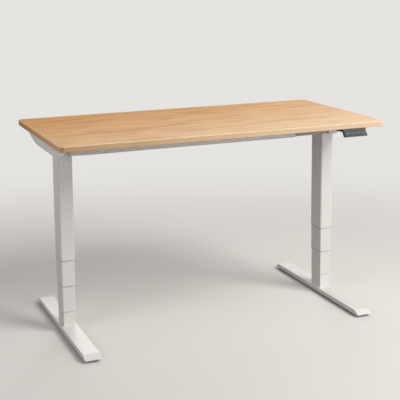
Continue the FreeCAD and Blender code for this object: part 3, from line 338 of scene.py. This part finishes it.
def finish_surface(tree, surface, outputs, strength, distance):
    """Links a group's colour, roughness and height to the shader, with the height as a bump."""
    tree.links.new(outputs["Color"], surface.inputs["Base Color"])
    tree.links.new(outputs["Roughness"], surface.inputs["Roughness"])
    inputs = {"Strength": strength, "Distance": distance, "Height": outputs["Height"]}
    tree.links.new(add_node(tree, "ShaderNodeBump", inputs).outputs[0], surface.inputs["Normal"])


def coat_material(name, base, grain, variation, gloss, strength, joint=None, **shader):
    """Paint or plastic with a fine grain.

    A joint is the height of the upper edge of a painted shadow line round an upright piece, where it enters a
    tube.
    """
    material, tree, surface, vector = new_material(name, **shader)
    if joint is not None:
        middle = joint - SHADOW_LINE / 2
        away = absolute(tree, math_node(tree, "SUBTRACT", split_axes(tree, vector)["Z"], middle))
        line = math_node(tree, "LESS_THAN", away, SHADOW_LINE / 2)
        # Painted shadow: a thin dark band just below the tube's mouth, where the shade falls.
        base = blend_colour(tree, line, base, srgb(112, 108, 105))
    inputs = {"Vector": vector, "Grain": grain, "Base": base, "Variation": variation, "Gloss": gloss}
    finish_surface(tree, surface, place_group(tree, "Fine coat", inputs), strength, distance=0.0002)
    return material


def steel_material(name, base, centre=(0, 0, 0), threads_per_metre=0.0, strength=0.15):
    """Turned steel about a vertical axis through the centre; threads show as a spiral of bumps."""
    material, tree, surface, vector = new_material(name, Metallic=1.0)
    about = stretch(tree, vector, (1, 1, 1), tuple(-c for c in centre))
    inputs = {"Vector": about, "Base": base, "Threads": threads_per_metre}
    finish_surface(tree, surface, place_group(tree, "Turned steel", inputs), strength, distance=0.0008)
    return material


def dress(material, *names):
    """Gives the material to CAD nodes."""
    for name in names:
        node = NODES[name]
        if not node.material_slots:
            node.data.materials.append(material)
        for slot in node.material_slots:
            slot.material = material


# ------------------------------------------------------------------ meshes


def add_object(name, data):
    made = bpy.data.objects.new(name, data)
    bpy.context.scene.collection.objects.link(made)
    return made


def mesh_object(name, points, faces, material):
    mesh = bpy.data.meshes.new(name)
    mesh.from_pydata(points.tolist(), [], faces)
    mesh.validate()
    mesh.materials.append(material)
    return add_object(name, mesh)


def mesh_piece(name, points, faces, material, body):
    """A finished piece at the origin, riding on a body."""
    piece = mesh_object(name, points, faces, material)
    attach(piece, body)
    return piece


def ring_faces(rows, columns):
    """Quads of a rows by columns grid whose last column joins the first."""
    row, column = np.meshgrid(np.arange(rows - 1), np.arange(columns), indexing="ij")
    after = (column + 1) % columns
    low, high = row * columns, (row + 1) * columns
    return np.stack([low + column, low + after, high + after, high + column], axis=-1).reshape(-1, 4)


def turned_solid(radius, height, angles):
    """A closed solid of rings about Z.

    radius is a rows by columns array and height one value per row; ring i is the curve
    (radius cos a, radius sin a, height) over the angles, and a middle point closes each end.
    """
    rows, columns = radius.shape
    z = np.repeat(height[:, None], columns, axis=1)
    rings = np.stack([radius * np.cos(angles), radius * np.sin(angles), z], axis=-1).reshape(-1, 3)
    ends = np.array([[0, 0, height[0]], [0, 0, height[-1]]])
    points = np.concatenate([rings, ends])
    step = np.arange(columns)
    after = (step + 1) % columns
    first, last = rows * columns, rows * columns + 1
    low = np.stack([np.full(columns, first), after, step], axis=-1)
    top = (rows - 1) * columns
    high = np.stack([np.full(columns, last), top + step, top + after], axis=-1)
    faces = ring_faces(rows, columns).tolist() + low.tolist() + high.tolist()
    return points, faces


def node_vertices(name):
    mesh = NODES[name].data
    flat = np.empty(len(mesh.vertices) * 3)
    mesh.vertices.foreach_get("co", flat)
    return flat.reshape(-1, 3)


def separate_solids(name):
    """The vertices of each separate solid of a CAD node.

    Vertices at one place count as one; each takes the lowest label found on its triangles
    until no label changes.
    """
    mesh = NODES[name].data
    points = node_vertices(name)
    unique, ids = np.unique(np.round(points, 6), axis=0, return_inverse=True)
    loops = np.empty(len(mesh.loops), int)
    mesh.loops.foreach_get("vertex_index", loops)
    triangles = ids.reshape(-1)[loops].reshape(-1, 3)
    label = np.arange(len(unique))
    while True:
        lowest = label.copy()
        np.minimum.at(lowest, triangles.ravel(), np.repeat(label[triangles].min(axis=1), 3))
        if (lowest == label).all():
            return [unique[label == value] for value in np.unique(label)]
        label = lowest


def screw_seats(name):
    """Each screw of a CAD node as (point on its axis under the head, direction of the shank, radius
    and height of the head, radius and length of the shank).

    A screw's two equal sides lie across its axis, and the end with the larger rim is the head.
    """
    seats = []
    for points in separate_solids(name):
        low, high = points.min(axis=0), points.max(axis=0)
        size, centre = high - low, (low + high) / 2
        axis = int(np.argmax([abs(size[(i + 1) % 3] - size[(i + 2) % 3]) < SAME for i in range(3)]))
        across = np.delete(points - centre, axis, axis=1)
        reach = np.hypot(across[:, 0], across[:, 1])
        along = points[:, axis]
        head_radius = reach.max()
        rim = along[reach > head_radius - SAME]
        upward = abs(rim.mean() - low[axis]) < abs(rim.mean() - high[axis])
        crown, tip = (low, high) if upward else (high, low)
        shank = reach[np.abs(along - tip[axis]) < SAME].max()
        seat = centre.copy()
        seat[axis] = rim.max() if upward else rim.min()
        direction = np.zeros(3)
        direction[axis] = 1.0 if upward else -1.0
        head, depth = abs(crown[axis] - seat[axis]), abs(tip[axis] - seat[axis])
        seats.append((seat, direction, head_radius, head, shank, depth))
    return seats


def screw_shape(head_radius, head, shank, reach, pitch, socket, pointed):
    """A screw along +Z with its seat at 0, its head below and its thread above.

    The socket's ring is a hexagon, r = s / cos(a mod 60 - 30 degrees), or a cross,
    r = s (0.34 + 0.66 cos(2a)^6). The head is a dome, a quarter of an ellipse from its inner flat.
    The thread's ring is r = R - d (1 + cos(2 pi z / pitch - a)) / 2; a wood screw's R shrinks to its
    point over the last 0.35 of its length, a bolt's a little in its last turn.
    """
    sides = 24
    angles = np.linspace(0, 2 * np.pi, sides, endpoint=False)
    if socket == "hex":
        drive = 0.36 * head_radius / np.cos(np.mod(angles, np.pi / 3) - np.pi / 6)
    else:
        drive = 0.5 * head_radius * (0.34 + 0.66 * np.cos(2 * angles) ** 6)
    dome = np.linspace(0, np.pi / 2, 6)
    inner = 0.62 * head_radius
    dome_radius = inner + (head_radius - inner) * np.sin(dome)
    dome_height = -head * (0.42 + 0.58 * np.cos(dome))
    socket_floor = -0.45 * head
    height = [socket_floor, -head, *dome_height, 0.0, 0.0]
    flat = [drive, drive, *dome_radius, head_radius, shank]
    rings = [np.broadcast_to(value, angles.shape) for value in flat]
    along = np.arange(pitch, reach, pitch / 4)
    depth = 0.32 * shank
    left = reach - along
    taper = np.clip(left / (0.35 * reach), 0.05, 1) if pointed else np.clip(left / pitch, 0.85, 1)
    wave = 0.5 + 0.5 * np.cos(2 * np.pi * along[:, None] / pitch - angles)
    thread = (shank - depth * wave) * taper[:, None]
    radius = np.concatenate([np.array(rings), thread, thread[-1:] * 0.6])
    return turned_solid(radius, np.array([*height, *along, reach]), angles)


def turn_to(direction):
    """The rotation that takes +Z to a direction along one of the axes, as a 3 by 3 array."""
    if direction[2] > 0:
        return np.eye(3)
    axis, angle = (1, 0, 0), math.pi
    if direction[2] == 0:
        axis, angle = tuple(np.cross((0, 0, 1), direction)), math.pi / 2
    return np.array(Matrix.Rotation(angle, 3, axis))


def join_solids(solids):
    """Several (points, faces) solids as one."""
    points, faces, start = [], [], 0
    for solid_points, solid_faces in solids:
        points.append(solid_points)
        faces += [[index + start for index in face] for face in solid_faces]
        start += len(solid_points)
    return np.concatenate(points), faces


def make_screws(name, cad_node, material, body, slot, pitch, socket="hex", pointed=False):
    """Threaded screws in the places of a CAD node's plain ones, which they stand for."""
    solids = []
    for seat, direction, head_radius, head, shank, reach in screw_seats(cad_node):
        points, faces = screw_shape(head_radius, head, shank, reach, pitch, socket, pointed)
        solids.append((points @ turn_to(direction).T + seat, faces))
    points, faces = join_solids(solids)
    piece = mesh_piece(name, points, faces, material, body)
    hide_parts(cad_node)


# ------------------------------------------------------------------ the handset's face


def face_axes():
    """Across, up the slope and outward of the tilted face, as unit vectors."""
    press = next(joint for joint in frame["joints"] if joint["name"] == "up_press")
    outward = -np.array(press["axis"], float)
    outward /= np.linalg.norm(outward)
    across = np.array([1.0, 0.0, 0.0])
    return across, np.cross(outward, across), outward


def face_spot(name, above):
    """Middle of a node's outer face on the tilted panel, raised by a distance."""
    across, upslope, outward = face_axes()
    local = node_vertices(name) @ np.stack([across, upslope, outward]).T
    level = local[:, 2].max()
    skin = local[local[:, 2] > level - SAME]
    middle = (skin.min(axis=0) + skin.max(axis=0)) / 2
    return middle[0] * across + middle[1] * upslope + (level + above) * outward


def plate(outline, centre, thickness):
    """A flat closed plate on the tilted panel: an outline in (across, up) and its raised copy."""
    across, upslope, outward = face_axes()
    flat = centre + outline[:, :1] * across + outline[:, 1:] * upslope
    points = np.concatenate([flat, flat + thickness * outward])
    count = len(outline)
    step = np.arange(count)
    after = (step + 1) % count
    sides = np.stack([step, after, count + after, count + step], axis=-1).tolist()
    return points, sides + [list(range(count))[::-1], list(range(count, 2 * count))]


def stroke_outline(path, width):
    """Outline of a line of even width: the path moved half a width to both sides at each point."""
    path = np.array(path, float)
    ahead = np.gradient(path, axis=0)
    ahead /= np.linalg.norm(ahead, axis=1, keepdims=True)
    side = np.stack([ahead[:, 1], -ahead[:, 0]], axis=-1) * width / 2
    return np.concatenate([path + side, (path - side)[::-1]])


def arc(cx, cy, radius, start, stop, count=14):
    angle = np.radians(np.linspace(start, stop, count))
    return np.stack([cx + radius * np.cos(angle), cy + radius * np.sin(angle)], axis=-1)


def sign_outlines(sign, height, stroke):
    """Outlines of one printed sign about the middle of its button, in (across, up)."""
    h = height / 2
    if sign in ("up", "down"):
        flip = 1 if sign == "up" else -1
        chevron = np.array([(-h, -0.45 * h), (0, 0.55 * h), (h, -0.45 * h)])
        turned = chevron * (0.9, flip)
        inner = turned - (0, flip * stroke * 1.5)
        return [np.concatenate([turned, inner[::-1]])[:: -flip]]
    if sign == "one":
        return [stroke_outline([(0, -h), (0, 0), (0, h)], stroke),
                stroke_outline([(0, h - stroke / 3), (-0.45 * h, 0.55 * h)], stroke)]
    if sign == "two":
        bend = arc(0, 0.45 * h, 0.5 * h, 165, -35)
        base = -h + stroke / 2
        return [stroke_outline([*bend, (-0.5 * h, base)], stroke),
                stroke_outline([(-0.5 * h, base), (0.55 * h, base)], stroke)]
    if sign == "three":
        return [stroke_outline(arc(0, 0.46 * h, 0.48 * h, 150, -90), stroke),
                stroke_outline(arc(0, -0.5 * h, 0.5 * h, 90, -150), stroke)]
    legs = [(-0.7 * h, -h), (-0.7 * h, h)], [(0.7 * h, -h), (0.7 * h, h)]
    slants = [(-0.7 * h, h - stroke / 2), (0, 0)], [(0, 0), (0.7 * h, h - stroke / 2)]
    return [stroke_outline(path, stroke) for path in (*legs, *slants)]


# The lit bars of each digit; a is the upper one, the letters go round clockwise and g is in the middle.
SEGMENTS = {"8": "abcdefg", "3": "abcdg"}


def digit_outlines(digit, height, stroke):
    """Six-sided bars of a seven-segment digit about its middle."""
    h, w, t = height / 2, height * 0.27, stroke / 2
    gap = stroke * 0.25
    places = {
        "a": ((-w, h), (w, h)), "g": ((-w, 0), (w, 0)), "d": ((-w, -h), (w, -h)),
        "f": ((-w, 0), (-w, h)), "b": ((w, 0), (w, h)), "e": ((-w, -h), (-w, 0)), "c": ((w, -h), (w, 0)),
    }
    bars = []
    for letter in SEGMENTS[digit]:
        start, stop = (np.array(point) for point in places[letter])
        along = (stop - start) / np.linalg.norm(stop - start)
        side = np.array([along[1], -along[0]]) * t
        near, far = start + along * gap, stop - along * gap
        first, last = near + along * t, far - along * t
        bars.append(np.array([near, first + side, last + side, far, last - side, first - side]))
    return bars


# ------------------------------------------------------------------ operators


class DESK_OT_effects(bpy.types.Operator):
    """Builds the shared node groups that the materials use"""

    bl_idname = "desk.effects"
    bl_label = "Shared Effects"

    def execute(self, context):
        build_grain_group()
        build_coat_group()
        build_turning_group()
        return {"FINISHED"}


class DESK_OT_top(bpy.types.Operator):
    """Finishes the tabletop in light oak with a matching edge band"""

    bl_idname = "desk.top"
    bl_label = "Oak Top"

    def execute(self, context):
        settings = context.scene.desk_top
        low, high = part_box("tabletop")
        material, tree, surface, vector = new_material("Light oak", Specular_IOR_Level=0.0)
        place = split_axes(tree, vector)
        facing = split_axes(tree, add_node(tree, "ShaderNodeNewGeometry").outputs["Normal"])
        end = math_node(tree, "GREATER_THAN", absolute(tree, facing["X"]), END_FACING)
        upright = math_node(tree, "LESS_THAN", absolute(tree, facing["Z"]), LEVEL_FACING)
        # Painted light: the wood is painted darker and warmer towards the back and the left, as painted
        # shade, and paler towards the front right, as a painted sheen.
        depth = map_range(tree, place["Y"], low.y, high.y)
        width = map_range(tree, place["X"], high.x, low.x)
        painted_shade_share = math_node(tree, "MULTIPLY_ADD", depth, 0.6, product(tree, width, 0.4))
        grain = self.lay_grain(tree, settings, place, end, painted_shade_share)
        banded = self.lay_band(tree, settings, grain["Color"], width, end, upright)
        # Painted highlight on the rounded upper edge and on the rim of the face inside it.
        highlighted = blend_colour(tree, self.highlight_mask(tree, place, facing, low, high), banded, settings.edge_highlight)
        below = math_node(tree, "SUBTRACT", high.z - settings.band_height, place["Z"])
        seam = math_node(tree, "LESS_THAN", absolute(tree, below), SEAM / 2)
        line = product(tree, product(tree, seam, upright), SEAM_SHARE)
        lined = blend_colour(tree, line, highlighted, settings.pore)
        under = math_node(tree, "LESS_THAN", facing["Z"], -LEVEL_FACING)
        dull = (0.55, 0.5, 0.44, 1)
        finished = blend_colour(tree, product(tree, under, DULL_SHARE), lined, dull)
        outputs = {"Color": finished, "Roughness": grain["Roughness"], "Height": grain["Height"]}
        finish_surface(tree, surface, outputs, strength=0.18, distance=0.0003)
        dress(material, "tabletop")
        return {"FINISHED"}

    def lay_grain(self, tree, settings, place, end, painted_shade_share):
        """Grain that runs along the board, and on its two ends along the band."""
        raised = math_node(tree, "ADD", place["Z"], place["Y"])
        along = join_axes(tree, place["X"], raised, 0.0)
        band = join_axes(tree, place["Y"], place["Z"], place["X"])
        inputs = {"Factor": end, 4: along, 5: band}
        chosen = add_node(tree, "ShaderNodeMix", inputs, data_type="VECTOR").outputs[1]
        # Painted light: the light colour runs from the painted sheen at the front right to the painted shade
        # at the back left, and the streaks fade towards it where the sheen is painted.
        light = blend_colour(tree, painted_shade_share, settings.lit_wood, settings.shaded_wood)
        sheen_share = product(tree, math_node(tree, "SUBTRACT", 1.0, painted_shade_share), 0.7)
        dark = blend_colour(tree, sheen_share, settings.dark_wood, light)
        inputs = {"Vector": chosen, "Light": light, "Dark": dark, "Pore": settings.pore}
        return place_group(tree, "Oak grain", inputs)

    def lay_band(self, tree, settings, wood, width, end, upright):
        """The band's colour over the wood on the long sides, with painted shade darkening it towards the
        left.
        """
        shaded = math_node(tree, "POWER", width, 2.0)
        strip = blend_colour(tree, shaded, settings.edge_band, settings.band_shade)
        side = product(tree, upright, math_node(tree, "SUBTRACT", 1.0, end))
        return blend_colour(tree, product(tree, side, BAND_SHARE), wood, strip)

    def highlight_mask(self, tree, place, facing, low, high):
        """The painted highlight's share on the rounded upper edge, a weaker painted highlight's share on the
        face's rim inside it, else 0.
        """
        slope = ramp(tree, facing["Z"], (0.15, 0.0), (0.45, 1.0), (0.90, 1.0), (0.97, 0.0))
        sides = []
        for axis, near, far in (("X", low.x, high.x), ("Y", low.y, high.y)):
            from_near = math_node(tree, "SUBTRACT", place[axis], near)
            from_far = math_node(tree, "SUBTRACT", far, place[axis])
            sides.append(math_node(tree, "MINIMUM", from_near, from_far))
        rim = map_range(tree, math_node(tree, "MINIMUM", *sides), RIM_START, RIM_END)
        level = math_node(tree, "GREATER_THAN", facing["Z"], LEVEL_FACING)
        rim_highlight = product(tree, product(tree, rim, level), RIM_HIGHLIGHT_SHARE)
        return math_node(tree, "MAXIMUM", product(tree, slope, EDGE_HIGHLIGHT_SHARE), rim_highlight)


class DESK_OT_steel_frame(bpy.types.Operator):
    """Powder coats the columns, feet, heads, brackets and crossbar"""

    bl_idname = "desk.steel_frame"
    bl_label = "Steel Frame"

    def execute(self, context):
        settings = context.scene.desk_frame
        coat = {"grain": settings.grain, "variation": 0.025, "strength": 0.22}
        paint = coat_material("Powder coat", settings.paint, gloss=0.34, **coat)
        names = [n for n in NODES if n.endswith(("_tube", "_foot", "_head", "_bracket"))]
        dress(paint, *[n for n in names if "guide" not in n])
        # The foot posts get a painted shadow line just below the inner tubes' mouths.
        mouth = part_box("left_inner_tube")[0].z
        shadow_lined = coat_material("Post with painted shadow", settings.paint, gloss=0.34, joint=mouth, **coat)
        dress(shadow_lined, "left_foot_post", "right_foot_post")
        dark = coat_material("Rail coat", settings.rail, gloss=0.36, **coat)
        dress(dark, *[n for n in NODES if n.endswith("_rail")])
        return {"FINISHED"}


class DESK_OT_plastics(bpy.types.Operator):
    """Finishes the slide guides, sleeves, levelling glides, control box and handset casing"""

    bl_idname = "desk.plastics"
    bl_label = "Moulded Plastics"

    def execute(self, context):
        guides = [n for n in NODES if n.endswith(("outer_guide", "middle_guides", "inner_guide"))]
        glides = [n for n in NODES if n.endswith("_glide")]
        casing = ["control_plate", "control_case", "control_sockets", "handset_body"]
        keys = [f"button_{name}" for name in BUTTONS]
        # Name, colour, grain, variation, gloss, strength of the bumps, nodes.
        plastics = [
            ("Slide plastic", (58, 57, 57), 0.0006, 0.05, 0.42, 0.12, guides),
            ("Sleeve plastic", (205, 200, 196), 0.0006, 0.04, 0.42, 0.12, ["rail_sleeves"]),
            ("Glide rubber", (44, 44, 45), 0.0005, 0.08, 0.62, 0.3, glides),
            ("Grained casing", (22, 22, 24), 0.0007, 0.05, 0.46, 0.3, casing),
            ("Soft button", (58, 64, 70), 0.0004, 0.05, 0.52, 0.25, keys),
        ]
        for name, shade, grain, variation, gloss, strength, nodes in plastics:
            dress(coat_material(name, srgb(*shade), grain, variation, gloss, strength), *nodes)
        grey = coat_material("Grey face", srgb(52, 58, 64), grain=0.0005, variation=0.04, gloss=0.46,
                             strength=0.15, Specular_IOR_Level=0.3)
        dress(grey, "handset_face")
        return {"FINISHED"}


class DESK_OT_machinery(bpy.types.Operator):
    """Finishes the spindle drives, gearmotors and circuit boards"""

    bl_idname = "desk.machinery"
    bl_label = "Machinery"

    def execute(self, context):
        for side in SIDES:
            low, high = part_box(f"{side}_drive_spindle")
            centre = ((low.x + high.x) / 2, (low.y + high.y) / 2, 0)
            spindle = steel_material(
                f"Threaded spindle {side}", srgb(196, 197, 198), centre, SPINDLE_THREADS, strength=0.9)
            sleeve = steel_material(
                f"Threaded sleeve {side}", srgb(186, 186, 188), centre, SLEEVE_THREADS, strength=0.9)
            drawn = steel_material(f"Drawn tube {side}", srgb(178, 180, 183), centre)
            dress(spindle, f"{side}_drive_spindle")
            dress(sleeve, f"{side}_hollow_spindle")
            dress(drawn, f"{side}_guide_tube")
        case = coat_material("Cast case", srgb(96, 98, 101), grain=0.0012, variation=0.10, gloss=0.40,
                             strength=0.5, Metallic=0.8)
        dress(case, "left_gearmotor", "right_gearmotor")
        self.dress_boards()
        return {"FINISHED"}

    def dress_boards(self):
        """Green lacquer over a net of paler tracks, with dark blocks where the control board rises."""
        material, tree, surface, vector = new_material("Circuit board", Roughness=0.35)
        cells = add_node(tree, "ShaderNodeTexBrick", {
            "Vector": vector, "Scale": 60.0, "Mortar Size": 0.09, "Row Height": 0.18, "Brick Width": 0.7,
            "Color1": srgb(22, 84, 52), "Color2": srgb(26, 92, 58), "Mortar": srgb(92, 140, 84)})
        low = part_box("control_board")[0]
        place = split_axes(tree, vector)
        # The control board lies within the box's reach of the middle, and the handset's beyond it.
        board_thickness, box_reach = 0.002, 0.1
        raised = math_node(tree, "GREATER_THAN", place["Z"], low.z + board_thickness)
        here = math_node(tree, "LESS_THAN", absolute(tree, place["Y"]), box_reach)
        block = product(tree, raised, here)
        board = blend_colour(tree, block, cells.outputs["Color"], srgb(48, 46, 44))
        tree.links.new(board, surface.inputs["Base Color"])
        dress(material, "control_board", "handset_board")


class DESK_OT_fasteners(bpy.types.Operator):
    """Makes the threaded bolts and screws with their sockets"""

    bl_idname = "desk.fasteners"
    bl_label = "Bolts and Screws"

    def execute(self, context):
        black = coat_material("Black oxide", srgb(62, 61, 62), grain=0.0008, variation=0.10, gloss=0.32,
                              strength=0.1, Metallic=1.0)
        zinc = coat_material("Zinc plate", srgb(186, 187, 184), grain=0.0010, variation=0.08, gloss=0.26,
                             strength=0.1, Metallic=1.0)
        bolt = {"material": black, "slot": "bolt_steel"}
        make_screws("Frame_bolts", "frame_bolts", body="desk_frame", pitch=0.001, **bolt)
        make_screws("Lock_screws", "rail_lock_screws", body="desk_frame", pitch=0.001, **bolt)
        make_screws("Cover_screws", "case_screws", body="desk_frame", pitch=0.0013, socket="cross", **bolt)
        make_screws("Wood_screws", "wood_screws", zinc, "desk_frame", "screw_steel",
                    pitch=0.0018, socket="cross", pointed=True)
        for side in SIDES:
            make_screws(f"Foot_bolts_{side}", f"{side}_foot_bolts",
                        body=f"{side}_inner", pitch=0.00125, **bolt)
        return {"FINISHED"}


class DESK_OT_handset(bpy.types.Operator):
    """Prints the buttons' signs, glazes the display and lights its digits"""

    bl_idname = "desk.handset"
    bl_label = "Handset Signs"

    def execute(self, context):
        settings = context.scene.desk_handset
        ink = coat_material("Legend ink", settings.ink, grain=0.0006, variation=0.02, gloss=0.42,
                            strength=0.05)
        for name in BUTTONS:
            centre = face_spot(f"button_{name}", LIFT)
            outlines = sign_outlines(name, settings.legend_height, settings.stroke)
            points, faces = join_solids([plate(outline, centre, SIGN_THICKNESS) for outline in outlines])
            mesh_piece(f"Sign_{name}", points, faces, ink, f"{name}_button")
        window, tree, surface, vector = new_material("Tinted window", Roughness=0.28, Specular_IOR_Level=0.12)
        tint = ramp(tree, noise(tree, vector, 60.0, 2.0), (0.3, 0.020), (0.7, 0.034))
        cool = multiply_colour(tree, tint, (0.75, 0.95, 1.25, 1))
        tree.links.new(cool, surface.inputs["Base Color"])
        dress(window, "display_window")
        self.light_digits(settings)
        return {"FINISHED"}

    def light_digits(self, settings):
        """The height shown in centimetres, as three lit digits and a point."""
        lit, tree, surface, vector = new_material("Lit digit", Emission_Strength=0.3, Roughness=0.5)
        flicker = ramp(tree, noise(tree, vector, 900.0, 1.0), (0.2, 0.86), (0.8, 1.0))
        glow = multiply_colour(tree, flicker, settings.glow)
        tree.links.new(glow, surface.inputs["Emission Color"])
        tree.links.new(blend_colour(tree, 0.85, glow, srgb(20, 24, 28)), surface.inputs["Base Color"])
        centre = face_spot("display_window", LIFT)
        across, upslope = face_axes()[:2]
        height, stroke = settings.digit_height, settings.stroke
        step = DIGIT_STEP * height
        solids = []
        for place, digit in zip(DIGIT_PLACES, "838"):
            bars = digit_outlines(digit, height, 1.25 * stroke)
            solids += [plate(bar, centre + place * step * across, DIGIT_THICKNESS) for bar in bars]
        dot = arc(0, 0, 0.75 * stroke, 0, 330, 12)
        spot = centre + POINT_PLACE * step * across - height / 2 * upslope
        solids.append(plate(dot, spot, DIGIT_THICKNESS))
        points, faces = join_solids(solids)
        mesh_piece("Height_digits", points, faces, lit, "desk_frame")


class DESK_OT_stage(bpy.types.Operator):
    """Sets the floor, the soft lights, the world and the camera"""

    bl_idname = "desk.stage"
    bl_label = "Stage"

    def execute(self, context):
        settings = context.scene.desk_stage
        self.make_floor(settings)
        self.make_world(context, settings)
        self.make_lights()
        self.make_camera(context, settings)
        context.scene.view_settings.view_transform = "Standard"
        return {"FINISHED"}

    def make_floor(self, settings):
        """A disc under the feet, which it follows, of rings of radius R t squared, finest in the middle."""
        rows, columns = 16, 96
        angles = np.linspace(0, 2 * np.pi, columns, endpoint=False)
        rings = settings.floor_radius * np.linspace(0.05, 1, rows) ** 2
        x, y = np.outer(rings, np.cos(angles)), np.outer(rings, np.sin(angles))
        points = np.stack([x, y, np.zeros((rows, columns))], axis=-1).reshape(-1, 3)
        faces = ring_faces(rows, columns)[:, ::-1].tolist() + [list(range(columns))]
        floor = mesh_object("Floor", points, faces, self.floor_material(settings))
        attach(floor, "left_inner")

    def floor_material(self, settings):
        """A pale floor that fades into the world's even light, and throws less light up than it shows."""
        material, tree, surface, vector = new_material("Pale floor", Roughness=0.8, Specular_IOR_Level=0.0)
        seen = seen_directly(tree)
        cloud = math_node(tree, "MULTIPLY_ADD", noise(tree, vector, 1.2, 2.0), 0.03, 0.87)
        pale = multiply_colour(tree, settings.floor, grey_colour(tree, cloud))
        away = add_node(tree, "ShaderNodeVectorMath", {0: vector}, operation="LENGTH").outputs["Value"]
        fade = map_range(tree, away, FADE_START, FADE_END, interpolation_type="SMOOTHERSTEP")
        even = product(tree, fade, seen)
        bounce, black = (0.34, 0.335, 0.33, 1), (0, 0, 0, 1)
        lit = blend_colour(tree, seen, bounce, pale)
        tree.links.new(blend_colour(tree, even, lit, black), surface.inputs["Base Color"])
        surface.inputs["Emission Color"].default_value = settings.floor
        tree.links.new(product(tree, even, settings.background), surface.inputs["Emission Strength"])
        return material

    def make_world(self, context, settings):
        """The floor's colour where it is seen, and a fainter light from all round."""
        world = bpy.data.worlds.new("Studio")
        context.scene.world = world
        world.use_nodes = True
        tree = world.node_tree
        background = tree.nodes["Background"].inputs
        seen = seen_directly(tree)
        tint = blend_colour(tree, seen, (1.0, 0.98, 0.96, 1), settings.floor)
        extra = settings.background - settings.ambient
        power = math_node(tree, "MULTIPLY_ADD", seen, extra, settings.ambient)
        tree.links.new(tint, background["Color"])
        tree.links.new(power, background["Strength"])

    def make_lights(self):
        """Soft boxes, each as (name, place, aim, width, power in watts, colour)."""
        boxes = [
            ("Key", (2.1, -2.6, 3.3), (0.1, 0, 0.6), 2.2, 142, (1.0, 0.98, 0.95)),
            ("Front", (2.2, -3.2, 0.9), (0, 0, 0.6), 1.6, 34, (1.0, 0.98, 0.96)),
            ("Fill", (-3.6, -1.6, 2.0), (0, 0, 0.6), 2.0, 32, (1.0, 0.98, 0.96)),
            ("Back", (1.0, 3.6, 2.8), (0, 0, 0.7), 2.4, 60, (1.0, 0.99, 0.97)),
        ]
        for name, place, aim, width, power, tint in boxes:
            lamp = bpy.data.lights.new(name, "AREA")
            lamp.shape = "SQUARE"
            lamp.size = width
            lamp.energy = power
            lamp.color = tint
            holder = add_object(name, lamp)
            holder.location = place
            away = Vector(place) - Vector(aim)
            holder.rotation_euler = away.to_track_quat("Z", "Y").to_euler()

    def make_camera(self, context, settings):
        """The camera stands to the left of the front, a little above the top, and looks down at it.

        It looks along (sin yaw cos pitch, cos yaw cos pitch, -sin pitch) and is rolled about that line.
        """
        lens = bpy.data.cameras.new("Camera")
        lens.lens = settings.lens
        lens.sensor_width = 36.0
        lens.shift_x, lens.shift_y = 0.0228, -0.204
        lens.clip_end = 200
        # Turns in radians.
        yaw, pitch, roll = 0.38999, 0.1617, -0.00859
        ahead = np.array([math.sin(yaw), math.cos(yaw), 0.0])
        forward = ahead * math.cos(pitch) - np.array([0.0, 0.0, math.sin(pitch)])
        level = np.array([math.cos(yaw), -math.sin(yaw), 0.0])
        upright = np.cross(level, forward)
        right = level * math.cos(roll) + upright * math.sin(roll)
        up = -level * math.sin(roll) + upright * math.cos(roll)
        turn = Matrix(np.stack([right, up, -forward], axis=-1).tolist()).to_4x4()
        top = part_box("tabletop")[1].z
        place = Matrix.Translation((-1.5787, -3.7497, top + 0.6707))
        context.scene.camera = add_object("Camera", lens)
        context.scene.camera.matrix_world = place @ turn


class DESK_PT_panel(bpy.types.Panel):
    """Lists the desk's pieces and the stage"""

    bl_idname = "DESK_PT_panel"
    bl_label = "Standing Desk"
    bl_space_type = "VIEW_3D"
    bl_region_type = "UI"
    bl_category = "Desk"

    def draw(self, context):
        for operator in OPERATORS:
            self.layout.operator(operator.bl_idname)
        for owner in SETTINGS:
            settings = getattr(context.scene, owner)
            box = self.layout.box()
            for name in settings.__annotations__:
                box.prop(settings, name)


SETTINGS = {
    "desk_top": DeskTopSettings,
    "desk_frame": DeskFrameSettings,
    "desk_handset": DeskHandsetSettings,
    "desk_stage": DeskStageSettings,
}
OPERATORS = (
    DESK_OT_effects, DESK_OT_top, DESK_OT_steel_frame, DESK_OT_plastics, DESK_OT_machinery,
    DESK_OT_fasteners, DESK_OT_handset, DESK_OT_stage,
)


def register():
    for name, group in SETTINGS.items():
        bpy.utils.register_class(group)
        setattr(bpy.types.Scene, name, bpy.props.PointerProperty(type=group))
    for item in (*OPERATORS, DESK_PT_panel):
        bpy.utils.register_class(item)


def unregister():
    for item in reversed((*OPERATORS, DESK_PT_panel)):
        bpy.utils.unregister_class(item)
    for name, group in SETTINGS.items():
        delattr(bpy.types.Scene, name)
        bpy.utils.unregister_class(group)


def main():
    register()
    bpy.ops.desk.effects()
    bpy.ops.desk.top()
    bpy.ops.desk.steel_frame()
    bpy.ops.desk.plastics()
    bpy.ops.desk.machinery()
    bpy.ops.desk.fasteners()
    bpy.ops.desk.handset()
    bpy.ops.desk.stage()


if __name__ == "__main__":
    main()
